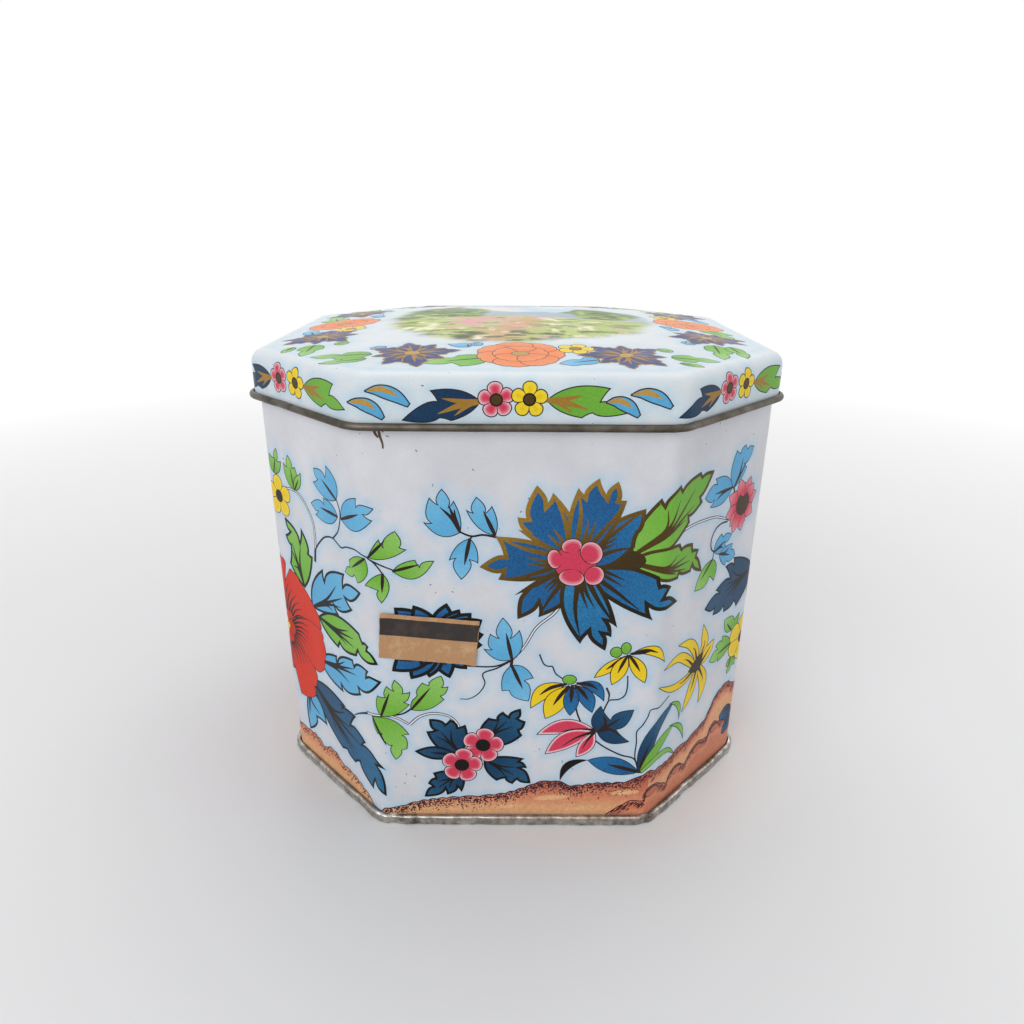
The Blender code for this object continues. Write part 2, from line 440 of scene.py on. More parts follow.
def set_sides(piece: bpy.types.Object, sides: Sequence[int]) -> None:
    """Give each face of a piece its material."""
    piece.data.polygons.foreach_set("material_index", np.array(sides, np.int32))


def right_of(line: Points) -> Points:
    """Unit vectors that point to the right of a line.

    Args:
        line: The line's points.

    Returns:
        The vector at each of them.
    """
    step = np.gradient(line, axis=0)
    step /= np.maximum(np.linalg.norm(step, axis=1), SMALL)[:, None]
    return np.column_stack([step[:, 1], -step[:, 0]])


def thick_line(line: Points, thickness: float) -> Points:
    """The closed section of a sheet whose middle follows a line, out along one side and back on the other.

    Args:
        line: Distances out and heights along the sheet's middle.
        thickness: Thickness of the sheet.

    Returns:
        The closed section.
    """
    normal = right_of(line)
    return np.concatenate([line + normal * thickness / 2, (line - normal * thickness / 2)[::-1]])


def arc(centre: Sequence[float], radius: float, start: float, sweep: float, steps: int) -> Points:
    """Points on an arc, from its start angle through its sweep, in degrees."""
    angle = np.radians(start + sweep * np.arange(steps + 1) / steps)
    return np.array(centre) + radius * np.column_stack([np.cos(angle), np.sin(angle)])


def sweep_section(section: Points, lumps: Callable[[Points, int], Points]) -> list[Points]:
    """Rings of a section, given as distances out and heights, each pushed about by lumps.

    Args:
        section: Distance out and height of each point of the section.
        lumps: Gives the shifts out and up of one of those points all along the tin.

    Returns:
        A ring for each point of the section.
    """
    along = PLAN.columns()
    rings = []
    for place, (out, height) in enumerate(section):
        shift = lumps(along, place)
        spot, _ = PLAN.at(along, out + shift[:, 0])
        rings.append(np.column_stack([spot, height + shift[:, 1]]))
    return rings


# Drawing


def bowed(start: Points, end: Points, bow: float, step: float, lean: float = 0.0) -> Points:
    """Points from start up to but not including end, on a curve that bulges to the right of the way there.

    Args:
        start: Where it starts.
        end: Where it ends.
        bow: Its bulge, as a share of its length.
        step: Spacing of the points.
        lean: How far the bulge lies past the middle of the way, as a share of the length.

    Returns:
        The points.
    """
    chord = end - start
    aside = np.array([chord[1], -chord[0]])
    control = (start + end) / 2 + 2 * bow * aside + lean * chord
    count = max(1 if bow == 0 else 3, math.ceil(np.hypot(*chord) * (1 + abs(bow)) / step))
    share = (np.arange(count) / count)[:, None]
    return (1 - share) ** 2 * start + 2 * share * (1 - share) * control + share ** 2 * end


def outline(corners: Sequence[Sequence[float]], step: float = 0.4) -> Points:
    """A closed outline, anticlockwise.

    Args:
        corners: Each corner's x and y, then the bow of the edge that follows and, where it has one, its lean.
        step: Spacing of the points on a bowed edge.

    Returns:
        The outline's points.
    """
    spots = np.array([corner[:2] for corner in corners], float)
    ends = np.roll(spots, -1, axis=0)
    return np.concatenate([bowed(a, b, corner[2], step, *corner[3:]) for a, b, corner in zip(spots, ends, corners)])


def both_sides(half: Sequence[Sequence[float]], skew: float = 1.0) -> Points:
    """A whole leaf or petal from the corners of one side, base to tip. skew widens its far side.

    Args:
        half: Corners of the right side, base to tip, each with its x, its distance from the middle and
            the bow of the edge that follows.
        skew: Width of the far side, as a share of the near one's.

    Returns:
        The closed outline.
    """
    near = [(x, -y, bow) for x, y, bow in half]
    far = []
    for place in range(len(half) - 1, 0, -1):
        x, y, _ = half[place]
        far.append((x, y * skew, half[place - 1][2]))
    return outline(near[:-1] + far)


def smooth_line(knots: Sequence[Sequence[float]], step: float = 0.5) -> Points:
    """Points on a smooth line through knots.

    Args:
        knots: Points that it runs through.
        step: Spacing of its points.

    Returns:
        The line.
    """
    spots = np.array(knots, float)
    padded = np.concatenate([[2 * spots[0] - spots[1]], spots, [2 * spots[-1] - spots[-2]]])
    found = []
    for before, here, after, beyond in zip(padded, padded[1:], padded[2:], padded[3:]):
        count = max(2, math.ceil(np.hypot(*(after - here)) / step))
        t = (np.arange(count) / count)[:, None]
        found.append(0.5 * (2 * here + (after - before) * t + (2 * before - 5 * here + 4 * after - beyond) * t ** 2
                            + (3 * here - before - 3 * after + beyond) * t ** 3))
    return np.concatenate(found + [spots[-1:]])


def brush(line: Points, start: float, end: float, swell: float = 0.0) -> Points:
    """Outline of a brush stroke along a line, from one width to another, wider by swell at its middle.

    Args:
        line: The stroke's middle.
        start: Its width where it starts.
        end: Its width where it ends.
        swell: How much wider it is at its middle.

    Returns:
        The closed outline.
    """
    aside = right_of(line)
    share = np.linspace(0.0, 1.0, len(line))
    half = (start + (end - start) * share + swell * np.sin(math.pi * share)) / 2
    return np.concatenate([line + aside * half[:, None], (line - aside * half[:, None])[::-1]])


def offset(edge: Points, inward: float) -> Points:
    """The outline moved inward, or outward if that is below 0. Sharp tips are cut short.

    Args:
        edge: The outline, anticlockwise.
        inward: How far to move it.

    Returns:
        The moved outline.
    """
    before, after = np.roll(edge, 1, axis=0), np.roll(edge, -1, axis=0)
    steps = [edge - before, after - edge]
    normals = []
    for step in steps:
        span = np.maximum(np.linalg.norm(step, axis=1), SMALL)[:, None]
        normals.append(np.column_stack([-step[:, 1], step[:, 0]]) / span)
    middle = normals[0] + normals[1]
    size = np.maximum(np.linalg.norm(middle, axis=1), 1e-6)
    mitre = np.minimum(2.0 / size, 2.4)
    return edge + middle / size[:, None] * (inward * mitre)[:, None]


def blob(x: float, y: float, wide: float, high: float, turn: float = 0.0, count: int = 20) -> Points:
    """An oval outline about a point.

    Args:
        x: Its middle's x.
        y: Its middle's y.
        wide: Its width.
        high: Its height.
        turn: Degrees that it is turned by.
        count: How many points it has.

    Returns:
        The closed outline.
    """
    angle = 2 * math.pi * np.arange(count) / count
    spots = np.column_stack([wide / 2 * np.cos(angle), high / 2 * np.sin(angle)])
    return spots @ turning(turn).T + np.array([x, y])


def turning(degrees: float) -> Points:
    """The matrix that turns a point anticlockwise."""
    angle = math.radians(degrees)
    return np.array([[math.cos(angle), -math.sin(angle)], [math.sin(angle), math.cos(angle)]])


@dataclass(frozen=True)
class Tint:
    """How an ink goes from dark, 0, to light, 1, between two points of the drawing."""
    start: tuple = (0.0, 0.0)
    end: tuple = (1.0, 0.0)
    first: float = 0.5
    last: float = 0.5

    def at(self, spots: Points) -> Points:
        """The tint at each point.

        Args:
            spots: The points.

        Returns:
            Their tints.
        """
        a, b = np.array(self.start), np.array(self.end)
        share = ((spots - a) @ (b - a)) / max(float((b - a) @ (b - a)), SMALL)
        return self.first + (self.last - self.first) * np.clip(share, 0.0, 1.0)


def even(value: float) -> Tint:
    """The same tint all over."""
    return Tint(first=value, last=value)


@dataclass(frozen=True)
class Patch:
    """An area of one ink. A later patch covers an earlier one."""
    edge: Points
    ink: Ink
    tint: Tint


@dataclass
class Motif:
    """Patches that are drawn together."""
    patches: list[Patch] = field(default_factory=list)

    def fill(self, edge: Points, ink: Ink, tint: Tint = Tint()) -> "Motif":
        """Add an area."""
        self.patches.append(Patch(edge, ink, tint))
        return self

    def edged(self, edge: Points, ink: Ink, line: Ink, width: float, tint: Tint = Tint(),
              line_tint: Tint = Tint()) -> "Motif":
        """Add an area with a line of the given width inside its outline."""
        self.fill(edge, line, line_tint)
        return self.fill(offset(edge, width), ink, tint)

    def stroke(self, knots: Sequence[Sequence[float]], start: float, end: float, ink: Ink,
               swell: float = 0.0, tint: Tint = Tint()) -> "Motif":
        """Add a brush stroke through knots."""
        return self.fill(brush(smooth_line(knots), start, end, swell), ink, tint)

    def placed(self, x: float, y: float, turn: float = 0.0, size: float = 1.0, flip: bool = False) -> "Motif":
        """This motif scaled, mirrored in its own X axis if flip, turned and moved.

        Args:
            x: Where its origin goes.
            y: Where its origin goes.
            turn: Degrees that it is turned by.
            size: How many times larger it gets.
            flip: Whether it is mirrored first.

        Returns:
            The new motif.
        """
        matrix = turning(turn) @ np.diag([size, -size if flip else size])
        shift = np.array([x, y])

        def moved(spots: Points) -> Points:
            """Turn, scale and move points."""
            return np.asarray(spots, float) @ matrix.T + shift

        made = []
        for patch in self.patches:
            edge = moved(patch.edge)
            tint = Tint(tuple(moved(patch.tint.start)), tuple(moved(patch.tint.end)),
                        patch.tint.first, patch.tint.last)
            made.append(Patch(edge[::-1] if flip else edge, patch.ink, tint))
        return Motif(made)

    def tinted(self, ink: Ink, tint: Tint) -> "Motif":
        """Give every patch of one ink the same run of tint."""
        self.patches = [Patch(patch.edge, patch.ink, tint) if patch.ink is ink else patch for patch in self.patches]
        return self

    def join(self, *others: "Motif") -> "Motif":
        """Add the patches of other motifs over this one's.

        Returns:
            This motif.
        """
        for other in others:
            self.patches += other.patches
        return self


# Motifs


def flame(root: Sequence[float], edge: Sequence[Sequence[float]], belly: float = 0.13,
          sides: Optional[tuple[float, float]] = None) -> Points:
    """Outline of a leaf or petal whose edge is a row of pointed lobes.

    Args:
        root: Where the leaf starts.
        edge: A tip, a notch, a tip and so on to the last tip, anticlockwise. The furthest tip is the leaf's own.
        belly: Bow of the outer edge of each lobe, as a share of its length.
        sides: Bows of the edges next to the root, right and left, where they aren't the belly.

    Returns:
        The closed outline, anticlockwise.
    """
    start, spots = np.array(root, float), np.array(edge, float)
    main = int(np.argmax(np.hypot(*(spots - start).T)))
    first, last = sides or (1.4 * belly, 1.4 * belly)
    corners = [(*start, first, -0.1)]
    for place, spot in enumerate(spots[:-1]):
        side = -0.24 if place < main else 0.24
        outer = (place % 2 == 1) == (place < main)
        corners.append((*spot, belly, side) if outer else (*spot, -0.05))
    return outline(corners + [(*spots[-1], last, 0.1)])


@dataclass(frozen=True)
class LeafStyle:
    """How a leaf or petal of pointed lobes is drawn.

    Its veins run from its root towards the tips of its lobes, its own tip first, or part the lobes if split.
    Widths are in millimetres, belly is the bow of the outer edges, and tints are those at the root and at the tip.
    """
    ink: Ink
    line: Ink = Ink.KEYLINE
    border: float = THIN
    veins: int = 1
    vein: float = 0.9
    belly: float = 0.13
    tints: tuple[float, float] = (0.4, 0.8)
    split: bool = False


def lobed(root: Sequence[float], edge: Sequence[Sequence[float]], style: LeafStyle,
          sides: Optional[tuple[float, float]] = None) -> Motif:
    """A leaf or petal of pointed lobes, with an inked edge and tapered veins from its root.

    Args:
        root: Where the leaf starts.
        edge: Its tips and notches in turn, anticlockwise, from its first tip to its last.
        style: How it is drawn.
        sides: Bows of the edges next to the root, where they aren't the style's belly.

    Returns:
        The leaf.
    """
    start, spots = np.array(root, float), np.array(edge, float)[::2]
    main = spots[int(np.argmax(np.hypot(*(spots - start).T)))]
    if style.split:
        spots = np.array(edge, float)[1::2]
    tint = Tint(tuple(start), tuple(main), *style.tints)
    made = Motif().edged(flame(root, edge, style.belly, sides), style.ink, style.line, style.border, tint)
    nearest = sorted(spots, key=lambda spot: float(np.hypot(*(spot - main))))
    for number, aim in enumerate(nearest[:style.veins]):
        reach = 0.84 if style.split else 0.64 if number == 0 else 0.7
        end = start + reach * (0.86 * aim + 0.14 * main - start)
        bend = start + 0.5 * reach * (0.6 * (main - start) + 0.4 * (aim - start))
        made.stroke([start, bend, end], 0.5 * style.vein, FINE, style.line, swell=0.42 * style.vein)
    return made


def arched(root: Sequence[float], tip: Sequence[float], right: float, left: float, ink: Ink,
           vein: float = 0.55, tints: tuple[float, float] = (0.4, 0.8), line: Ink = Ink.KEYLINE,
           border: float = THIN) -> Motif:
    """A slim petal or blade between two bowed edges.

    Args:
        root: Where it starts.
        tip: Where it ends.
        right: Bow of the edge on the right of the way to the tip. Below 0 it is hollow.
        left: Bow of the edge on the left.
        ink: Its ink.
        vein: Width of the stroke inside it, or 0.
        tints: Tint of the ink at the root and at the tip.
        line: The ink of its edge and stroke.
        border: Width of the edge.

    Returns:
        The petal.
    """
    start, end = np.array(root, float), np.array(tip, float)
    made = Motif().edged(outline([(*start, right), (*end, left)]), ink, line, border,
                         Tint(tuple(start), tuple(end), *tints))
    if vein:
        middle = bowed(start, end, (right - left) / 2, 0.4)
        knots = middle[[int(share * (len(middle) - 1)) for share in (0, 0.35, 0.66)]]
        made.stroke(knots, 0.6 * vein, FINE, line, swell=0.6 * vein)
    return made


def blossom(radius: float, ink: Ink, lobes: int = 5, border: float = 0.22, disc: float = 0.35,
            disc_ink: Ink = Ink.OLIVE, pale: bool = False, notch: float = 0.26) -> Motif:
    """A flat flower of round lobes with a ringed disc in its middle.

    Args:
        radius: Its radius.
        ink: The petals' ink.
        lobes: How many petals.
        border: Width of the outline.
        disc: Radius of the disc, as a share of the flower's.
        disc_ink: The disc's ink.
        pale: Whether the petals go pale towards their rim.
        notch: Depth of the notches between the petals, as a share of the radius.

    Returns:
        The flower, about its own middle.
    """
    angle = 2 * math.pi * np.arange(100) / 100
    reach = radius * (1 - notch * (1 - np.abs(np.cos(lobes * angle / 2)) ** 0.6))
    edge = np.column_stack([reach * np.cos(angle), reach * np.sin(angle)])
    made = Motif().fill(edge, Ink.KEYLINE)
    steps = ((0, 0.92), (0.16, 0.76), (0.36, 0.62), (0.65, 0.52), (1, 0.45)) if pale else ((0, 0.72), (0.8, 0.5))
    for inward, tint in steps:
        made.fill(offset(edge, border + inward), ink, even(tint))
    for lobe in range(lobes):
        way = turning(360 * (lobe + 0.5) / lobes) @ np.array([1, 0.0])
        made.fill(brush(np.array([way * disc * radius, way * (1 - notch) * radius]), 0.12, 0.24), Ink.KEYLINE)
    made.fill(blob(0, 0, 2 * disc * radius, 2 * disc * radius), Ink.BORDER)
    return made.fill(blob(0, 0, 1.5 * disc * radius, 1.5 * disc * radius), disc_ink, even(0.4))


def great_flower() -> Motif:
    """The great blue flower with its pink heart, about its own middle. Its edges go from bronze to gold.

    Returns:
        The flower, about its own middle.
    """
    made = Motif()
    for edge, sides, tints in (
            (((-17.4, 5.9), (-15.6, 1.6), (-20.8, -1.2), (-16.1, -2.6), (-16.8, -4.2)), (0.1, 0.13), (0.35, 0.45)),
            (((17.5, -14.1), (16.4, -10.9), (25.1, -11.3), (20.4, -8.6), (22.1, -6.5), (18.8, -5.4), (18.4, -3.4)),
             (0.1, 0.08), (0.45, 0.75)),
            (((-13.1, -7.9), (-11.3, -7.3), (-12.5, -13.9), (-7.9, -10.6), (-7.9, -13.4)), (0.05, 0.24), (0.4, 0.55)),
            (((12.4, 3.6), (13, 6.8), (14.2, 12.4)), (0.24, 0.14), (0.4, 0.7)),
            (((-5.4, 15.9), (-6.4, 13.6), (-8.7, 17.5), (-10.8, 10.2), (-12.7, 10.4), (-11.5, 7.4), (-12.5, 7.5)),
             (0.15, 0.04), (0.5, 0.45)),
            (((1.6, -20.1), (3.2, -17.6), (7.3, -21.9), (7.2, -17.9), (8.5, -18.4), (7.7, -14.6), (9.7, -16)),
             (0.2, 0.1), (0.85, 0.6)),
            (((10.1, 14.2), (8.8, 14.3), (8.1, 18.4), (5.7, 15.6), (4.2, 19.1), (1.1, 15.6), (-0.1, 17)),
             (0.12, 0.13), (0.6, 0.4))):
        made.join(lobed((0, 0), edge, LeafStyle(Ink.BLUE, Ink.BRONZE, 0.95, 0, belly=0.1, tints=tints), sides))
        spots = np.array(edge, float)
        for first, second, share in ((0, 0, 0.5), (0, -1, 0.6), (0, -1, 0.35), (-1, -1, 0.5)):
            far = 0.62 * (spots[first] * share + spots[second] * (1 - share))
            far *= min(1, 11.5 / float(np.hypot(*far))) * (1.6 if first == second else 1)
            made.stroke([0.3 * far, 0.65 * far + 0.04 * far[::-1], far], 1.3, 0.15, Ink.BRONZE, swell=0.1)
    made.tinted(Ink.BRONZE, Tint((9, -10), (-3, 13), 0.06, 0.85))
    made.edged(blob(-0.2, 0, 9.6, 8.8), Ink.PINK, Ink.KEYLINE, THIN, even(0.46))
    for x, y, wide, high, turn in ((-1.1, 3.9, 4.6, 3.5, 10), (-4.7, 0.8, 3.3, 4.7, 10), (3.2, 2.3, 4.9, 5.6, 30),
                                   (4, -3.1, 4.5, 4.8, -20), (-0.9, -3.6, 5.8, 4.1, -8)):
        far = 0.24 * np.array([x, y]) / np.hypot(x, y)
        made.edged(blob(x, y, wide, high, turn), Ink.PINK, Ink.KEYLINE, THIN, even(0.8))
        for step, tint in ((0.8, 0.66), (1.7, 0.54), (2.6, 0.48)):
            size = 1 - 0.1 * step
            made.fill(blob(x - step * far[0], y - step * far[1], (wide - 0.4) * size, (high - 0.4) * size, turn),
                      Ink.PINK, even(tint))
    return made


def spiky_flower() -> Motif:
    """A dark flower of pointed petals with thick edges, in two rows.

    Returns:
        The flower, about its own middle.
    """
    made = Motif()
    ring = ((-9.3, 9), (-5.1, 9.6), (2.4, 10.2), (5.2, 8.7), (7.8, 7.8), (10.2, 6.1), (10.5, 2.4), (10.2, -0.4),
            (8.9, -3.2), (6.6, -6.8), (2.6, -9.3), (-2.2, -9.2), (-6.4, -9.6), (-10.6, -7.4), (-12, -3),
            (-12, 2), (-11.2, 6.2))
    for size, width, every in ((1, 0.26, 1), (0.62, 0.32, 2)):
        for tip in ring[::every]:
            made.join(arched((0, 0), size * np.array(tip), width, width, Ink.BLUE, 0.9, (0.2, 0.6), Ink.BORDER, 0.85))
    return made.join(blossom(3.4, Ink.PINK, 6, pale=True))


def pointed_daisy() -> Motif:
    """A pink daisy of jagged petals round a dark disc with a notched top.

    Returns:
        The flower, about its own middle.
    """
    made = Motif()
    style = LeafStyle(Ink.PINK, border=0.16, veins=0, belly=0.08, tints=(0.34, 0.72))
    for angle, long in ((14, 6.6), (150, 7.6), (192, 7.4), (222, 6.6), (64, 7), (108, 7.2), (325, 6.6), (275, 7.2),
                        (243, 7.4), (40, 6.4)):
        edge = ((0.72 * long, -1.9), (0.8 * long, -1.2), (long, 0.2), (0.78 * long, 1.3), (0.7 * long, 2))
        made.join(lobed((0.6, 0), edge, style).placed(0, 0, angle))
    disc = ((-2.9, 1, 0.1), (-2.2, -1.6, 0.1), (0.2, -2.9, 0.14), (2.6, -1.6, 0.1), (3.1, 0.4, 0.1), (1.6, 2.7, -0.1),
            (0.2, 2, -0.1), (-1.4, 2.8, 0.1))
    return made.edged(outline(disc), Ink.OLIVE, Ink.BORDER, THIN, even(0.2))


def peony() -> Motif:
    """A red peony of a few broad petals with fan-like creases, about its own middle.

    Returns:
        The flower, about its own middle.
    """
    made = Motif().edged(blob(0, 0, 26, 27), Ink.RED, Ink.PLUM, THIN, even(0.35))
    broad = ((14, -8.4, 0.14), (17.4, -7.2, 0.16), (19.1, -3.6, 0.14), (19.3, 2.6, 0.2), (18.5, 5.2, 0.06),
             (10, 5.4, 0.05))
    low = ((4.7, -20, 0.1), (12.2, -17.4, 0.2), (12.4, -14.2, 0.2), (13.9, -12.4, 0.2), (13.6, -8.2, 0.05),
           (9, -5, 0.02))
    high = ((18.4, 5, 0.2), (18.7, 7.2, 0.12), (16.4, 10.8, 0.06), (10.4, 15.8, 0.14), (7.6, 17.4, 0.3),
            (5.2, 16.7, 0.1))
    petals = ((low, 0), (high, 0), (broad, 0), (high, 62), (low, 178), (broad, 118), (high, 180), (low, -62),
              (broad, 236))
    for petal, turn in petals:
        edge = outline([(0, 0, 0), *petal])
        far = np.array(petal, float)[:, :2].mean(0)
        one = Motif().edged(edge, Ink.RED, Ink.PLUM, THIN, Tint((0, 0), tuple(far), 0.3, 0.55), even(0.2))
        for share in (-0.5, -0.3, -0.12, 0.05, 0.22, 0.4, 0.56):
            way = turning(50 * share) @ far
            start, end = (0.34 - 0.1 * abs(share)) * way, (0.72 + 0.14 * share) * way
            one.stroke([start, (start + end) / 2 + 0.04 * turning(90) @ way, end], 0.8, 0.1, Ink.BORDER)
        made.join(one.placed(0, 0, turn))
    return made.join(blossom(3, Ink.YELLOW, 6))


def double_stem(knots: Sequence[Sequence[float]], width: float = 0.8) -> Motif:
    """A stem drawn as two thin lines with a pale gap."""
    return (Motif().stroke(knots, width, width * 0.75, Ink.KEYLINE)
            .stroke(knots, width - 0.42, width * 0.75 - 0.34, Ink.WHITE, tint=even(0.3)))


def thin_stem(knots: Sequence[Sequence[float]], start: float = 0.4, end: float = 0.2) -> Motif:
    """A stem or tendril of one thin line."""
    return Motif().stroke(knots, start, end, Ink.KEYLINE)


def comma(length: float) -> Motif:
    """A comma-shaped leaf of the skirt border along +X: sky blue, with gold along its back.

    Args:
        length: Its length.

    Returns:
        The leaf, from its stalk at the origin.
    """
    line = smooth_line([(0, 0.1), (0.3 * length, 0.62), (0.66 * length, 0.1), (length, -1.5)], 0.3)
    made = Motif().edged(brush(line, 0.3, 1, 2.3), Ink.SKY, Ink.KEYLINE, 0.26, even(0.4))
    back = [(0.07 * length, 0.3), (0.34 * length, 0.95), (0.6 * length, 0.55), (0.74 * length, -0.05)]
    return made.stroke(back, 0.25, 0.1, Ink.LID_GOLD, swell=0.95, tint=even(0.75))


def border_leaf(ink: Ink) -> Motif:
    """The skirt border's leaf along +X from its stalk: three lobes and a forked gold vein.

    Args:
        ink: Its ink, which also says which of two shapes it has.

    Returns:
        The leaf, from its stalk at the origin.
    """
    navy = ink is Ink.NAVY
    edge = (((6.2, -3.3), (8.4, -2.5), (15.8, -2.2), (8.4, 0.9), (9.6, 3.1)) if navy else
            ((7.4, -3.4), (9.4, -2.3), (16.8, -2), (11, 0.2), (12.8, 2.9)))
    style = LeafStyle(ink, border=0.24, veins=0, belly=0.1, tints=(0.2, 0.4) if navy else (0.35, 0.5))
    made = lobed((0, 0), edge, style, (0.1, 0.13))
    for end, width in (((8.6, -1.6), 1.1), ((7.4, 1.3), 0.9), ((5.4, -2.3), 0.7)):
        made.stroke([(0.1, 0), (0.45 * end[0], 0.2 * end[1]), end], 0.9, 0.1, Ink.LID_GOLD, swell=0.6 * width)
    return made


def gilt_flower(radius: float) -> Motif:
    """The lid's flower of slate petals edged and streaked with gold.

    Args:
        radius: Length of its longest petals.

    Returns:
        The flower, about its own middle.
    """
    made = Motif()
    style = LeafStyle(Ink.SLATE, Ink.LID_GOLD, 0.36, 2, 0.9, 0.1, (0.2, 0.5))
    for petal in range(8):
        far = radius * (1, 0.82, 0.94)[petal % 3]
        edge = ((0.66 * far, -0.27 * far), (0.74 * far, -0.15 * far), (far, -0.02 * far), (0.76 * far, 0.13 * far),
                (0.7 * far, 0.24 * far))
        made.join(lobed((0.5, 0), edge, style).placed(0, 0, 45 * petal + 5, 1, bool(petal % 2)))
    return made.edged(blob(0, 0, 0.36 * radius, 0.3 * radius), Ink.LID_GOLD, Ink.OLIVE, THIN, even(0.8))


def orange_flower(radius: float) -> Motif:
    """The lid's orange flower: two rows of scalloped petals about a gold heart.

    Args:
        radius: Its radius.

    Returns:
        The flower, about its own middle.
    """
    made = Motif()
    for count, reach, start in ((7, 1, 0), (5, 0.62, 20)):
        for petal in range(count):
            far = reach * radius
            wide = 1.06 * far * math.sin(math.pi / count)
            half = [(0.5, 0.3, 0.1), (0.62 * far, wide, 0.2), (0.94 * far, 0.55 * wide, 0.16), (0.97 * far, 0, 0)]
            one = Motif().edged(both_sides(half), Ink.ORANGE, Ink.OLIVE, THIN, Tint((0, 0), (far, 0), 0.3, 0.65),
                                even(0.5))
            made.join(one.placed(0, 0, start + 360 * petal / count))
    return made.edged(blob(0, 0, 0.42 * radius, 0.36 * radius), Ink.LID_GOLD, Ink.OLIVE, THIN, even(0.75))


def curl(radius: float, ink: Ink) -> Motif:
    """A small curled bud of the lid's ring.

    Args:
        radius: Its radius.
        ink: Its ink.

    Returns:
        The bud, about its own middle.
    """
    made = Motif().edged(blob(0, 0, 2.2 * radius, 2 * radius), ink, Ink.KEYLINE, 0.2, even(0.6))
    return made.stroke([(0.9 * radius, -0.3 * radius), (0, 0.5 * radius), (-0.5 * radius, 0), (0, -0.35 * radius)],
                       0.35, 0.15, Ink.KEYLINE)


# Composition of the print


def draw_leaves(leaves: Sequence[tuple], style: LeafStyle) -> Motif:
    """Leaves of one kind, each given by its root, with the bows of its sides or without, then its tips and notches.

    Args:
        leaves: The leaves.
        style: How they are drawn.

    Returns:
        The leaves.
    """
    art = Motif()
    for (x, y, *sides), *edge in leaves:
        art.join(lobed((x, y), edge, style, tuple(sides) or None))
    return art


def draw_petals(petals: Sequence[tuple], vein: float = 0.7, tints: tuple[float, float] = (0.4, 0.7)) -> Motif:
    """Slim petals, each given by its root, tip, right and left bow, and ink.

    Args:
        petals: The petals.
        vein: Width of the stroke inside each.
        tints: Tint of the ink at the root and at the tip.

    Returns:
        The petals.
    """
    art = Motif()
    for root, tip, right, left, ink in petals:
        art.join(arched(root, tip, right, left, ink, vein, tints))
    return art


